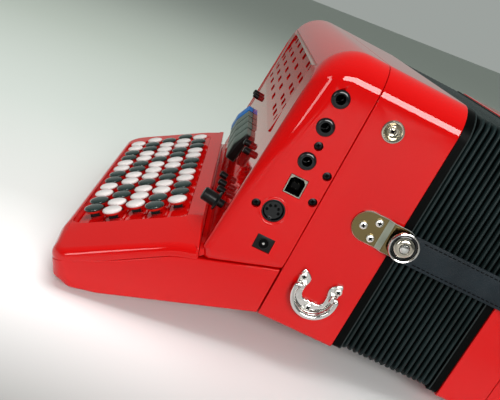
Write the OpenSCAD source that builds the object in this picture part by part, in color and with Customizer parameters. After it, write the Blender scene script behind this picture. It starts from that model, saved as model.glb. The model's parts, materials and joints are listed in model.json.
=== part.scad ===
/* [Casing] */
// Length of the instrument along the keyboard
body_l = 300; // [296:2:320]
// Depth of both casings from back to front
depth = 180; // [178:1:186]
// Width of the treble casing between cover seam and bellows
casing_w = 55; // [50:1:60]
// Radius of the front edges of both casings
front_r = 20; // [12:1:26]
// Wall thickness of the casings
wall = 3; // [2:0.5:4]
// Lean of the whole instrument as it lies on its back
lean = 6.32; // [6.3:0.01:6.34]

/* [Bellows] */
// Width of the closed bellows with its two frames
bellows_w = 80; // [70:1:90]
// Width of each bellows frame
frame_w = 7; // [5:0.5:9]
// Number of folds
fold_count = 16; // [10:1:18]
// Depth of a fold
fold_depth = 5; // [4:0.5:7]

/* [Keyboard] */
// Slope of the treble button board
board_slope = 33.54; // [33:0.1:34]
// Distance between button rows
row_pitch = 15; // [14.5:0.1:15.5]
// Distance between buttons in a row
button_pitch = 17.32; // [17:0.02:17.6]
// Radius of a treble button cap
cap_r = 6.9; // [6:0.1:7.2]
// Travel of a treble button
treble_travel = 3; // [2:0.5:4]

/* [Bass side] */
// Width of the bass casing and cover
bass_w = 108; // [100:1:120]
// Radius of a bass button
bass_button_r = 4.2; // [3.6:0.1:4.6]
// Distance between bass buttons in a row
bass_pitch = 17; // [16:0.5:18]

/* [Sockets] */
// Wall radius of the three plug sockets
jack_r = 3.25; // [3.2:0.01:3.3]
// Depth of the plug sockets
jack_l = 14; // [10:1:20]

/* [Hidden] */
$fn = 48;

// The local frame has x along the bellows with 0 at the treble side of them, y along the
// keyboard and z from back to front. lying() sets that frame on the table.
shift_x = -12.6;
lift = 23.65;
frame_x = -2;
seam_x = frame_x - casing_w;
bass_x = frame_x + bellows_w + 2;
end_x = bass_x + bass_w;
bass_seam_x = bass_x + 32;
corner_steps = 6;
gap = 0.4;

// Cover side face: it leans out towards the back.
side_x0 = -117.4;
side_lean = 7.3;

// Button board: s runs up the slope, d is the height above the local origin.
top_d = 102.2;
rim_d = 97.5;
floor_d = 94.2;
bed_d = 92;
stem_d = 79;
first_s = -155.85;
recess = [[-170, -88.5], [31, 267]];
shelf_y = [0.5, 291];
ramp_d = 88.2;
ramp_tilt = 3.15;
shelf_s0 = -179.2;
shelf_plan = [[shelf_s0, shelf_y[0]], [100, shelf_y[0]], [100, shelf_y[1]], [shelf_s0, shelf_y[1]]];
rows_y = [53.7, 45.0, 53.7, 45.0, 53.7];
rows_black = [
    [1, 1, 0, 0, 1, 1, 0, 0, 1, 1, 0, 0],
    [0, 0, 1, 1, 0, 0, 1, 1, 0, 0, 1, 1, 0],
    [0, 0, 0, 1, 0, 0, 0, 1, 0, 0, 0, 1],
    [1, 1, 0, 0, 1, 1, 0, 0, 1, 1, 0, 0, 1],
    [0, 1, 1, 0, 0, 1, 1, 0, 0, 1, 1, 0]];

// Places on the end face, as [x, z].
jacks = [[-77, 150], [-77, 131], [-77, 107.3]];
usb_at = [-75.7, 89.8];
midi_at = [-80.5, 69.2];
dc_at = [-76, 46.7];
screws_at = [[-92.6, 69.1], [-61.1, 85.2], [-61.2, 104.1], [-75, 118.7]];
cup_at = [-39.3, 147];
bracket_at = [-30.5, 31];
loop_at = [-30.5, 34.2];
loop_half = 14.3;
strap_z = 87.3;
snap_x = 1.5;
hinge_x = 96;
hinge_y = -5;

// Bass button board
bass_bend = [bass_seam_x + 13, depth];
bass_shoulder = [end_x, 95];
bass_slope = atan2(bass_bend[1] - bass_shoulder[1], bass_shoulder[0] - bass_bend[0]);
bass_rows = 6;
bass_row_pitch = 14;
bass_count = 12;

function unit(v) = v / norm(v);
function corner(p, before, after, r) =
    let (
        u = unit(before - p),
        v = unit(after - p),
        half = acos(u * v) / 2,
        centre = p + unit(u + v) * r / sin(half),
        first = p + u * r / tan(half),
        last = p + v * r / tan(half))
    [for (i = [0 : corner_steps])
        centre + r * unit((first - centre) * (1 - i / corner_steps)
                          + (last - centre) * i / corner_steps)];
function rounded(points, radii) =
    let (n = len(points))
    [for (i = [0 : n - 1])
        each radii[i] > 0
            ? corner(points[i], points[(i + n - 1) % n], points[(i + 1) % n], radii[i])
            : [points[i]]];

// Casing outline across the keyboard direction, inset by t.
function casing_outline(t) = rounded(
    [[t, t], [body_l - t, t], [body_l - t, depth - t], [t, depth - t]],
    [4 - t / 2, 4 - t / 2, front_r - t, front_r - t]);

// Cover section across the bellows direction, inset by t.
function side_x(z) = side_x0 + z * tan(side_lean);
// Its lower corner draws in beside the keyboard shell and meets the pan.
function cover_section(t) = rounded(
    [[-112.6 + 1.02 * t, 36.8 + 0.08 * t], [-107.5 + 0.67 * t, 18.8 + 1.28 * t],
     [seam_x + 10, 39.25 + 1.06 * t], [seam_x + 10, depth - t], [side_x(depth) + t, depth - t]],
    [4, 1, 0, 0, 26 - t]);

// Keyboard shelf: upper shell and lower pan sections, which meet at the seam.
function board_xz(s, d) =
    [s * cos(board_slope) - d * sin(board_slope), s * sin(board_slope) + d * cos(board_slope)];
function shell_section() = rounded(
    [[-196, -28.5], board_xz(-178.2, 88.5), board_xz(-176.6, 91.9), board_xz(-174.6, 94.6),
     board_xz(-172, 96.6), board_xz(-169.5, rim_d), board_xz(-156, rim_d),
     board_xz(-112, 95.8), board_xz(-94, 95.1), board_xz(-76.6, 93.1), [-108.4, 18.07],
     [-115.7, 15.6], [-123.7, 12.5], [-151.9, -4.9], [-187.2, -25.4]],
    [1, 0, 0, 0, 0, 0, 0, 0, 2, 1, 0, 0, 0, 0, 0]);
function pan_section(t) = rounded(
    [[-196 + t, -28.5], [-191 + t, -39 + t], [-180, -42.5 + t], [-160, -36.5 + t],
     [seam_x - 0.5 - t, 0.6 + t], [seam_x - 0.5 - t, 35.3 - t], [-115.7, 15.6 - t],
     [-123.7, 12.5], [-151.9, -4.9], [-187.2, -25.4]],
    [0, 3, 8, 0, 0, 0, 0, 0, 0, 0]);

function bass_section(t) = rounded(
    [[bass_seam_x, t], [end_x - t, t], [end_x - t, bass_shoulder[1] - t * 0.7],
     [bass_bend[0] - t * 0.3, depth - t], [bass_seam_x, depth - t]],
    [0, 5, 10, 10, 0]);

module lying() {
    translate([shift_x, -body_l / 2, lift]) rotate([0, lean, 0]) children();
}
module along_x(x0, x1) {
    translate([x0, 0, 0]) rotate([90, 0, 90]) linear_extrude(x1 - x0) children();
}
module along_y(y0, y1) {
    translate([0, y1, 0]) rotate([90, 0, 0]) linear_extrude(y1 - y0) children();
}
module far_end() {
    translate([0, body_l, 0]) mirror([0, 1, 0]) children();
}
module both_ends() {
    children();
    far_end() children();
}
// Rod along y at an [x, z] place, from y0 to y1.
module rod(at, r, y0, y1) {
    translate([at[0], y1, at[1]]) rotate([90, 0, 0]) cylinder(r = r, h = y1 - y0);
}
module block(x, y, z) {
    translate([x[0], y[0], z[0]]) cube([x[1] - x[0], y[1] - y[0], z[1] - z[0]]);
}
// Children are placed as [s, y, d] on the sloping button board.
module on_board() {
    rotate([0, -board_slope, 0]) children();
}
// Children are placed as [up the face, y, outwards] on the cover's side face.
module on_side() {
    translate([side_x0, 0, 0]) rotate([0, side_lean - 90, 0]) children();
}
// Children are placed as [down the slope, y, outwards] on the bass button board.
module on_bass_board() {
    translate([bass_bend[0], 0, bass_bend[1]]) rotate([0, bass_slope, 0]) children();
}

module treble_casing() color("red") lying() difference() {
    along_x(seam_x, frame_x) polygon(casing_outline(0));
    along_x(seam_x + wall, frame_x + 1) polygon(casing_outline(wall));
}

module end_cuts() {
    for (at = jacks) rod(at, 5.85, -1, wall + 1);
    block([usb_at[0] - 6, usb_at[0] + 6], [-1, wall + 1], [usb_at[1] - 6.5, usb_at[1] + 6.5]);
    rod(midi_at, 7.5, -1, wall + 1);
    block([dc_at[0] - 6, dc_at[0] + 6], [-1, wall + 1], [dc_at[1] - 5, dc_at[1] + 5]);
}
module grille_opening() {
    on_side() block(grille_u, [38, body_l - 38], [-8, 4]);
}
module treble_cover() color("red") lying() difference() {
    intersection() {
        along_y(0, body_l) polygon(cover_section(0));
        along_x(-140, seam_x) polygon(casing_outline(0));
    }
    intersection() {
        along_y(wall, body_l - wall) polygon(cover_section(wall));
        along_x(-140, seam_x + 1) polygon(casing_outline(wall));
    }
    end_cuts();
    both_ends() for (at = screws_at) rod(at, 2.9, -1, wall + 1);
    grille_opening();
    on_side() {
        for (i = [0 : 4]) block([54.4, 81.6], [121.2 + i * 24, 142.8 + i * 24], [-5, 2]);
        for (at = concat(low_presets_at, high_presets_at)) translate([at[0], at[1], -5])
            cylinder(r = preset_r + gap, h = 8);
        translate([knob_at[0], knob_at[1], -5]) cylinder(r = 3.4, h = 8);
    }
}

// Grille plate: columns of slots that start narrow at both ends and widen to the middle.
grille_u = [106, 158];
slot_y = [[44, 4], [53, 8], [66, 11], [92, 12], [116, 12]];
module grille_slots() {
    for (u = [110 : 12 : 150], s = slot_y)
        for (y = [s[0], body_l - s[0] - s[1]]) block([u, u + 8], [y, y + s[1]], [-5, 5]);
    for (u = [110 : 12 : 150]) block([u, u + 8], [body_l / 2 - 6, body_l / 2 + 6], [-5, 5]);
}
module treble_grille() color("salmon") lying() on_side() difference() {
    block(grille_u, [38, body_l - 38], [-4.2, -1.2]);
    grille_slots();
}

// Outline of the shelf seen square to the button board, with rounded outer corners.
module shelf_outline() {
    on_board() translate([0, 0, -100]) linear_extrude(300)
        polygon(rounded(shelf_plan, [12, 0, 0, 18]));
}
// The near border of the shell ramps up from the end to the edge of the recess.
module shell_ramp() {
    on_board() translate([-132, 0, 0]) rotate([0, ramp_tilt, 0]) translate([-100, 0, 0])
        rotate([90, 0, 90]) linear_extrude(200) polygon(
            [[-5, ramp_d - 1.7], [recess[1][0], rim_d], [recess[1][0], 140], [-5, 140]]);
}
module keyboard_shell() color("red") lying() difference() {
    intersection() {
        along_y(shelf_y[0], shelf_y[1]) polygon(shell_section());
        shelf_outline();
    }
    shell_ramp();
    on_board() {
        block(recess[0], recess[1], [bed_d, 120]);
        block(recess[0] + [2, -2], recess[1] + [2, -2], [60, bed_d + 1]);
        block([-150, -100], [recess[1][1] + 3, shelf_y[1] - 4], [60, 93]);
    }
}

module keyboard_pan() color("firebrick") lying() difference() {
    intersection() {
        along_y(shelf_y[0], shelf_y[1]) polygon(pan_section(0));
        shelf_outline();
    }
    along_y(shelf_y[0] + 8, shelf_y[1] - 8) polygon(
        [[-188, -24], [-187, -36], [-180, -39.2], [-161, -33.4], [seam_x - 4, 3],
         [seam_x - 4, 31], [-115.7, 12], [-117, 20], [-130, 20]]);
}

// Button bed with one slot for each stem and a rib between rows.
module each_button(row) {
    for (i = [0 : len(rows_black[row]) - 1])
        translate([first_s + row * row_pitch, rows_y[row] + i * button_pitch, 0]) children();
}
module button_bed() color("red") lying() on_board() difference() {
    union() {
        block(recess[0], recess[1], [bed_d, floor_d]);
        for (row = [1 : 4]) let (s = first_s + (row - 0.5) * row_pitch)
            block([s - 0.6, s + 0.6], recess[1], [floor_d - 1, floor_d + 1]);
    }
    for (row = [0 : 4]) each_button(row) block([-3.8, 3.8], [-1.9, 1.9], [bed_d - 1, floor_d + 2]);
}

// Treble button: lens cap, conical skirt and a flat stem.
module treble_button() {
    translate([0, 0, top_d]) {
        rotate_extrude() polygon([
            [0, -4.9], [5.3, -4.9], [6.1, -3.4], [cap_r - 0.4, -3.2], [cap_r, -2.4],
            [cap_r, -1.6], [cap_r - 1, -0.8], [cap_r - 3, -0.2], [0, 0]]);
        block([-3.1, 3.1], [-1.3, 1.3], [stem_d - top_d, -4.5]);
    }
}
module button_group(row, black) {
    for (i = [0 : len(rows_black[row]) - 1]) if (rows_black[row][i] == black)
        translate([first_s + row * row_pitch, rows_y[row] + i * button_pitch, 0])
            treble_button();
}
module row1_black() color("darkslategray") lying() on_board() button_group(0, 1);
module row1_white() color("white") lying() on_board() button_group(0, 0);
module row2_black() color("darkslategray") lying() on_board() button_group(1, 1);
module row2_white() color("white") lying() on_board() button_group(1, 0);
module row3_black() color("darkslategray") lying() on_board() button_group(2, 1);
module row3_white() color("white") lying() on_board() button_group(2, 0);
module row4_black() color("darkslategray") lying() on_board() button_group(3, 1);
module row4_white() color("white") lying() on_board() button_group(3, 0);
module row5_black() color("darkslategray") lying() on_board() button_group(4, 1);
module row5_white() color("white") lying() on_board() button_group(4, 0);

// Rubber pads under the shelf, trimmed level with the table.
module shelf_pads() color("dimgray") intersection() {
    lying() for (y = [38, body_l - 38]) {
        difference() {
            translate([-172, y, -60]) cylinder(r = 9, h = 24);
            along_y(0, body_l) polygon(pan_section(0));
        }
    }
    translate([-300, -300, 0]) cube([600, 600, 40]);
}

module frame_ring(x0) {
    along_x(x0, x0 + frame_w) difference() {
        polygon(casing_outline(1));
        polygon(casing_outline(14));
    }
}
module treble_frame() color("black") lying() frame_ring(frame_x);
module bass_frame() color("black") lying() frame_ring(bass_x - frame_w);

// Bellows: folds seen from the end and from the front, crossed to make mitred corners.
fold_x0 = frame_x + frame_w + 0.3;
fold_x1 = bass_x - frame_w;
function fold_edge(low, high) =
    let (step = (fold_x1 - fold_x0) / (2 * fold_count))
    concat(
        [for (i = [0 : 2 * fold_count]) [fold_x0 + i * step, low + (i % 2 == 0 ? fold_depth : 0)]],
        [for (i = [2 * fold_count : -1 : 0])
            [fold_x0 + i * step, high - (i % 2 == 0 ? fold_depth : 0)]]);
module bellows_folds() color("black") lying() difference() {
    intersection() {
        translate([0, 0, -10]) linear_extrude(depth + 20) polygon(fold_edge(1.5, body_l - 1.5));
        along_y(-10, body_l + 10) polygon(fold_edge(1.5, depth - 1.5));
    }
    along_x(0, bass_x) polygon(rounded(
        [[9, 9], [body_l - 9, 9], [body_l - 9, depth - 9], [9, depth - 9]],
        [5, 5, 5, 5]));
}

// Register tabs and small buttons on the cover's side face.
preset_r = 3.4;
knob_at = [49.3, 32];
low_presets_at = [[47.5, 65], [47.5, 82], [47.5, 102]];
high_presets_at = [[81, 68], [81, 92], [90, 252], [90, 268]];
module register(i, shade) color(shade) lying() on_side()
    translate([0, 142.4 + i * 24, 0]) rotate([90, 0, 0]) linear_extrude(20.8)
        polygon([[55, -4], [81, -4], [81, 0.6], [68, 4.8], [56.2, 4.2], [55, 3.4]]);
module register_1() register(0, "darkslategray");
module register_2() register(1, "darkslategray");
module register_3() register(2, "darkslategray");
module register_4() register(3, "darkslategray");
module register_5() register(4, "royalblue");

module presets(places) lying() on_side() for (at = places)
    translate([at[0], at[1], -4]) cylinder(r = preset_r, h = 7);
module low_presets() color("black") presets(low_presets_at);
module high_presets() color("black") presets(high_presets_at);
module volume_knob() color("black") lying() on_side() translate([knob_at[0], knob_at[1], 0]) {
    translate([0, 0, -4]) cylinder(r = 3, h = 6);
    translate([0, 0, 0.3]) cylinder(r = 7, h = 1.5);
    translate([0, 0, 1.5]) cylinder(r = 3.9, h = 10.5);
}

// Sockets
module jack_collars() color("black") lying() for (at = jacks) difference() {
    union() {
        rod(at, 5.85, -1.2, jack_l);
        rod(at, 7.4, wall + 0.1, jack_l + 2);
    }
    rod(at, jack_r, -2, jack_l);
}
module usb_socket() color("silver") lying() difference() {
    block([usb_at[0] - 6, usb_at[0] + 6], [0, 16], [usb_at[1] - 6.5, usb_at[1] + 6.5]);
    block([usb_at[0] - 5.2, usb_at[0] + 5.2], [-1, 12], [usb_at[1] - 5.7, usb_at[1] + 5.7]);
}
module midi_socket() color("black") lying() difference() {
    rod(midi_at, 7.5, 0.4, 14);
    difference() {
        rod(midi_at, 6.6, -1, 12);
        rod(midi_at, 6.0, 2, 13);
    }
    for (a = [0 : 45 : 180])
        rod(midi_at + 4 * [cos(a), sin(a)], 0.8, 1, 10);
}
module dc_inlet() color("black") lying() difference() {
    block([dc_at[0] - 6, dc_at[0] + 6], [0.2, 14], [dc_at[1] - 5, dc_at[1] + 5]);
    difference() {
        rod(dc_at, 3.1, -1, 11);
        rod(dc_at, 1, 1, 12);
    }
}

module case_screws() color("black") lying() both_ends() for (at = screws_at) difference() {
    rod(at, 2.9, 1.6, 10);
    rod(at, 1.1, 0, 3.4);
}
module screw_cups() color("silver") lying() both_ends() difference() {
    rod(cup_at, 7.2, -1.4, 0);
    translate([cup_at[0], -4.3, cup_at[1]]) rotate([90, 0, 0]) translate([0, 0, -4.2])
        cylinder(r1 = 1.5, r2 = 5.6, h = 3);
}

// Strap brackets: crescent plate with two lugs, and a rod loop that hangs in them.
module strap_plates() color("silver") lying() both_ends() {
    difference() {
        rod(bracket_at, 16, -2.5, 0);
        rod(bracket_at + [0, 6], 10, -3, 1);
        block([-60, 0], [-3, 1], [bracket_at[1] + 13.5, 80]);
    }
    for (side = [-1, 1]) let (x = loop_at[0] + side * (loop_half - 3.7)) difference() {
        block([x - 1.3, x + 1.3], [-7.4, -2.4], [loop_at[1] - 2.4, loop_at[1] + 2.4]);
        translate([x - 2, -5, loop_at[1]]) rotate([0, 90, 0]) cylinder(r = 1.58, h = 4);
    }
}
module strap_loop() {
    translate([loop_at[0], -5, loop_at[1] - 4]) rotate([90, 0, 0]) rotate_extrude(angle = -180)
        translate([loop_half, 0]) circle(r = 2);
    for (side = [-1, 1]) {
        translate([loop_at[0] + side * loop_half, -5, loop_at[1] - 4]) cylinder(r = 2, h = 4);
        translate([loop_at[0] + side * loop_half, -5, loop_at[1]]) sphere(r = 2);
        translate([loop_at[0] + side * (loop_half - 2.6) - 2.6, -5, loop_at[1]])
            rotate([0, 90, 0]) cylinder(r = 1.5, h = 5.2);
    }
}
module strap_loop_near() color("silver") lying() strap_loop();
module strap_loop_far() color("silver") lying() far_end() strap_loop();

// Clasp plate: fixed to the treble casing, stepped out over the bellows frame, with a stud.
clasp_x = [-33.4, 10.5];
clasp_half = 10.5;
module clasp_plate() {
    intersection() {
        translate([0, 0, strap_z - clasp_half]) linear_extrude(2 * clasp_half) polygon(
            [[clasp_x[0], 0], [-9, 0], [-5.5, -3], [clasp_x[1], -3], [clasp_x[1], -4.5],
             [-6.5, -4.5], [-10, -1.5], [clasp_x[0], -1.5]]);
        union() {
            rod([clasp_x[0] + clasp_half, strap_z], clasp_half, -10, 10);
            block([clasp_x[0] + clasp_half, 0], [-10, 10],
                  [strap_z - clasp_half, strap_z + clasp_half]);
            rod([0, strap_z], clasp_half, -10, 10);
        }
    }
    rod([snap_x, strap_z], 3.2, -8, -4);
}
module clasp_plates() color("silver") lying() both_ends() clasp_plate();

module round_screw(at, y) {
    difference() {
        rod(at, 2.3, y - 1, y);
        rod(at, 0.9, y - 2, y - 0.5);
    }
}
module plate_screws() color("silver") lying() both_ends() {
    for (at = [[-26.2, 87.2], [-17.7, 92.9], [-18, 81.4]]) round_screw(at, -1.5);
    for (at = [[-43, 39.6], [-18, 39.6], [-30.5, 21.3]]) round_screw(at, -2.5);
}

// Bellows strap: leather band, hinged on the bass casing, with a snap cap over the stud.
module strap_band() {
    difference() {
        union() {
            rod([snap_x, strap_z], 8.6, -8.4, -6.2);
            block([snap_x, hinge_x], [-8.4, -6.2], [strap_z - 10, strap_z + 10]);
            translate([hinge_x, hinge_y, strap_z - 10]) cylinder(r = 3.4, h = 20);
        }
        block([-20, snap_x], [-9, 0], [strap_z - 3.7, strap_z + 3.7]);
        rod([snap_x, strap_z], 3.7, -9, 0);
        translate([hinge_x, hinge_y, strap_z - 11]) cylinder(r = 1.58, h = 22);
    }
}
module snap_cap_shape() {
    translate([snap_x, -8.4, strap_z]) rotate([90, 0, 0]) rotate_extrude() polygon(
        [[0, 0], [9.6, 0], [10.2, 0.7], [10.2, 1.6], [9.4, 2.3], [8.6, 1.7], [7.6, 1.5],
         [6.6, 2.6], [4.6, 3.5], [2, 3.8], [1.6, 4.2], [0, 4.3]]);
}
module bellows_strap_near() color("midnightblue") lying() strap_band();
module bellows_strap_far() color("midnightblue") lying() far_end() strap_band();
module snap_cap_near() color("silver") lying() snap_cap_shape();
module snap_cap_far() color("silver") lying() far_end() snap_cap_shape();
module strap_anchors() color("silver") lying() both_ends() {
    block([hinge_x + 4, hinge_x + 22], [-1.5, 0], [strap_z - 13, strap_z + 13]);
    for (z = [strap_z - 13, strap_z + 10.4])
        block([hinge_x - 3, hinge_x + 6], [-8, 0], [z, z + 2.6]);
    translate([hinge_x, hinge_y, strap_z - 13]) cylinder(r = 1.5, h = 26);
}

// Bass side
module bass_casing() color("red") lying() difference() {
    along_x(bass_x, bass_seam_x) polygon(casing_outline(0));
    along_x(bass_x - 1, bass_seam_x - wall) polygon(casing_outline(wall));
}
module each_bass_button(row) {
    for (i = [0 : bass_count - 1]) translate([
        17 + row * bass_row_pitch,
        body_l / 2 + (i - (bass_count - 1) / 2) * bass_pitch + (row - 2.5) * 3,
        0]) children();
}
module bass_cover() color("red") lying() difference() {
    intersection() {
        along_y(0, body_l) polygon(bass_section(0));
        along_x(bass_seam_x, end_x + 1) polygon(casing_outline(0));
    }
    intersection() {
        along_y(wall, body_l - wall) polygon(bass_section(wall));
        along_x(bass_seam_x - 1, end_x) polygon(casing_outline(wall));
    }
    on_bass_board() for (row = [0 : bass_rows - 1]) each_bass_button(row)
        translate([0, 0, -6]) cylinder(r = bass_button_r + gap, h = 12);
    translate([end_x - 6, air_at[0], air_at[1]]) rotate([0, 90, 0]) cylinder(r = 7.4, h = 12);
}
module bass_button() {
    translate([0, 0, -7]) cylinder(r = bass_button_r, h = 12.5);
    translate([0, 0, 5.5]) cylinder(r1 = bass_button_r, r2 = bass_button_r - 1, h = 0.8);
}
module bass_row(row) color("black") lying() on_bass_board() each_bass_button(row) bass_button();
module bass_row_1() bass_row(0);
module bass_row_2() bass_row(1);
module bass_row_3() bass_row(2);
module bass_row_4() bass_row(3);
module bass_row_5() bass_row(4);
module bass_row_6() bass_row(5);

air_at = [272, 62];
module air_button() color("black") lying() translate([end_x, air_at[0], air_at[1]])
    rotate([0, 90, 0]) translate([0, 0, -6]) cylinder(r = 7, h = 12);

// Hand strap: a padded band that arches over the outer face, held at both ends.
strap_rise = 26;
strap_thick = 4;
strap_band_z = [22, 82];
function arch(t, x_off) = [end_x + x_off + strap_rise * sin(180 * t), 22 + (body_l - 70) * t];
module hand_strap() color("black") lying()
    translate([0, 0, strap_band_z[0]]) linear_extrude(strap_band_z[1] - strap_band_z[0])
        polygon(concat(
            [[end_x, 10]],
            [for (i = [0 : 16]) arch(i / 16, 0)],
            [[end_x, body_l - 36], [end_x + strap_thick, body_l - 36]],
            [for (i = [16 : -1 : 0]) arch(i / 16, strap_thick)],
            [[end_x + strap_thick, 10]]));

wheel_at = [end_x - 22, 52];
module strap_wheel() color("black") lying() {
    rod(wheel_at, 3, body_l + 0.3, body_l + 2);
    rod(wheel_at, 11, body_l + 1, body_l + 7);
}

module bass_feet() color("dimgray") intersection() {
    lying() for (x = [end_x - 14], y = [36, body_l - 36])
        translate([x, y, -12]) cylinder(r = 9, h = 12);
    translate([-300, -300, 0]) cube([600, 600, 60]);
}

// Inside the casings
module circuit_boards() color("green") lying() {
    block([-91, -68], [17, 19], [40, 160]);
    block([seam_x + wall, seam_x + wall + 1.6], [40, 260], [30, 150]);
    on_board() block([-160, -95], [40, body_l - 40], [70, 71.6]);
}
// Rubber mat of springs between the switch board and the button stems.
module spring_mat() color("white") lying() on_board() {
    block([-160, -95], [40, body_l - 40], [71.6, 72.8]);
    for (row = [0 : 4]) let (s = first_s + row * row_pitch)
        block([s - 2, s + 2], [42, body_l - 42], [72.6, 75.6]);
}
module speakers() color("gray") lying() on_side() for (y = [90, body_l - 90]) {
    translate([132, y, -6.4]) cylinder(r = 22, h = 1.8);
    translate([132, y, -15]) cylinder(r1 = 12, r2 = 21, h = 8.7);
    translate([132, y, -23]) cylinder(r = 13, h = 8.1);
}
module battery_pack() color("gray") lying()
    block([bass_seam_x + 8, bass_seam_x + 68], [90, 210], [wall, 34]);

treble_casing();
treble_cover();
treble_grille();
keyboard_shell();
keyboard_pan();
button_bed();
shelf_pads();
treble_frame();
row1_black();
row1_white();
row2_black();
row2_white();
row3_black();
row3_white();
row4_black();
row4_white();
row5_black();
row5_white();
register_1();
register_2();
register_3();
register_4();
register_5();
low_presets();
high_presets();
volume_knob();
jack_collars();
usb_socket();
midi_socket();
dc_inlet();
case_screws();
screw_cups();
strap_plates();
strap_loop_near();
strap_loop_far();
clasp_plates();
plate_screws();
bellows_folds();
bass_frame();
bellows_strap_near();
bellows_strap_far();
snap_cap_near();
snap_cap_far();
strap_anchors();
bass_casing();
bass_cover();
bass_row_1();
bass_row_2();
bass_row_3();
bass_row_4();
bass_row_5();
bass_row_6();
air_button();
hand_strap();
strap_wheel();
bass_feet();
circuit_boards();
spring_mat();
speakers();
battery_pack();
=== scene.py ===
"""Button accordion lying on its back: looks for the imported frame.

Shapes are written in the instrument's own millimetre frame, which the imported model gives:
x runs along the bellows (0 at their treble side), y along the keyboard, z from back to front.
"""
import json
import math

import bmesh
import bpy
from mathutils import Matrix, Vector


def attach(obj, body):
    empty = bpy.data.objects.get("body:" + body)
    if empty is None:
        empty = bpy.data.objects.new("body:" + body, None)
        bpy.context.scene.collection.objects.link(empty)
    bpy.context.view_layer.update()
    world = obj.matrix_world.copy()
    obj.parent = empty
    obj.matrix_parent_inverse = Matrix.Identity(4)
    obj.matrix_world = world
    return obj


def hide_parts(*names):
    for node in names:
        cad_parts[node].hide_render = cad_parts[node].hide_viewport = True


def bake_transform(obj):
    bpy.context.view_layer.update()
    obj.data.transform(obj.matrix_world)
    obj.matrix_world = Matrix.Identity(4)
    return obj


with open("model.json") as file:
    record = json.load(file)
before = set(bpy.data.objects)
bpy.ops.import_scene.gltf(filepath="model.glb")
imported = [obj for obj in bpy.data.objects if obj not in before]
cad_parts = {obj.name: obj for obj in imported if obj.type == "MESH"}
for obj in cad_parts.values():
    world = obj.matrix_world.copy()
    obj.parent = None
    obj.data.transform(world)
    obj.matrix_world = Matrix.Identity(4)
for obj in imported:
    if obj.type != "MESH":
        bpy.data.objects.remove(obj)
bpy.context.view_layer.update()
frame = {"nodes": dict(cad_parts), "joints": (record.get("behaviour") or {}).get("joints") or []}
NODES = frame["nodes"]
JOINTS = {joint["name"]: joint for joint in frame["joints"]}
MM = 0.001

# ---------------------------------------------------------------- the instrument's own frame

SLIDE = Vector(JOINTS["bellows_slide"]["axis"])
LEAN = math.atan2(SLIDE.z, -SLIDE.x)
TURN = Matrix.Rotation(LEAN, 3, "Y")
FRAME_X = -2.0


def raw_points(node):
    """The node's vertices turned back into the instrument's axes, in millimetres."""
    back = TURN.transposed()
    return [back @ v.co / MM for v in NODES[node].data.vertices]


def span(points):
    """Lowest and highest corner of some points."""
    lo = Vector(min(p[i] for p in points) for i in range(3))
    hi = Vector(max(p[i] for p in points) for i in range(3))
    return lo, hi


_lo, _hi = span(raw_points("treble_casing"))
ORIGIN = Vector((_hi.x - FRAME_X, _lo.y, _lo.z))
LOCAL = Matrix.Diagonal((MM, MM, MM, 1.0))
LOCAL = TURN.to_4x4() @ LOCAL @ Matrix.Translation(ORIGIN)


def extent(node):
    """Lowest and highest corner of a node in the instrument's frame."""
    lo, hi = span(raw_points(node))
    return lo - ORIGIN, hi - ORIGIN


def solids(node):
    """The extents of a node's separate solids, nearest first."""
    bm = bmesh.new()
    bm.from_mesh(NODES[node].data)
    bmesh.ops.remove_doubles(bm, verts=bm.verts, dist=2e-6)
    left = set(bm.verts)
    found = []
    back = TURN.transposed()
    while left:
        stack = [left.pop()]
        group = []
        while stack:
            vert = stack.pop()
            group.append(back @ vert.co / MM - ORIGIN)
            for edge in vert.link_edges:
                other = edge.other_vert(vert)
                if other in left:
                    left.remove(other)
                    stack.append(other)
        found.append(span(group))
    bm.free()
    return sorted(found, key=lambda pair: pair[0].y)


def middle(pair):
    return (pair[0] + pair[1]) / 2


BODY_L = extent("treble_casing")[1].y
DEPTH = extent("treble_casing")[1].z
SEAM_X = extent("treble_casing")[0].x
BASS_X = extent("bass_casing")[0].x
BASS_SEAM_X = extent("bass_casing")[1].x
END_X = extent("bass_cover")[1].x
FRONT_R = 20.0

# Treble button board: s runs up the slope, d is the height above the local origin.
PRESS = TURN.transposed() @ Vector(JOINTS["row1_black_press"]["axis"])
BOARD_UP = -PRESS
BOARD_S = Vector((BOARD_UP.z, 0, -BOARD_UP.x))
TOP_D = 102.2
FLOOR_D = 94.2
RECESS_S = (-170.0, -88.5)
RECESS_Y = (31.0, 267.0)
SHELF_Y = (0.5, 291.0)

# Cover side face, which leans out towards the back.
SIDE_OUT = -(TURN.transposed() @ Vector(JOINTS["register_1_press"]["axis"]))
SIDE_UP = Vector((SIDE_OUT.z, 0, -SIDE_OUT.x))
SIDE_SLOPE = SIDE_OUT.z / -SIDE_OUT.x
SIDE_X0 = -117.4

# Bass button board
BASS_OUT = -(TURN.transposed() @ Vector(JOINTS["bass_row_1_press"]["axis"]))
BASS_DOWN = Vector((BASS_OUT.z, 0, -BASS_OUT.x))
BASS_BEND = (BASS_SEAM_X + 13.0, DEPTH)
BASS_SHOULDER = (END_X, 95.0)


def on_board(s, y, d):
    return BOARD_S * s + BOARD_UP * d + Vector((0, y, 0))


def on_side(u, y, n):
    return Vector((SIDE_X0, y, 0)) + SIDE_UP * u + SIDE_OUT * n


def on_bass(t, y, n):
    return Vector((BASS_BEND[0], y, BASS_BEND[1])) + BASS_DOWN * t + BASS_OUT * n


def side_x(z):
    """Side face of the cover; its lowest part draws in beside the keyboard shell."""
    return max(SIDE_X0 + z * SIDE_SLOPE, -112.6 + (36.8 - z) * 0.283)


def far(point):
    """The same place on the far end."""
    return Vector((point[0], BODY_L - point[1], point[2]))


# ---------------------------------------------------------------- materials


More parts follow.
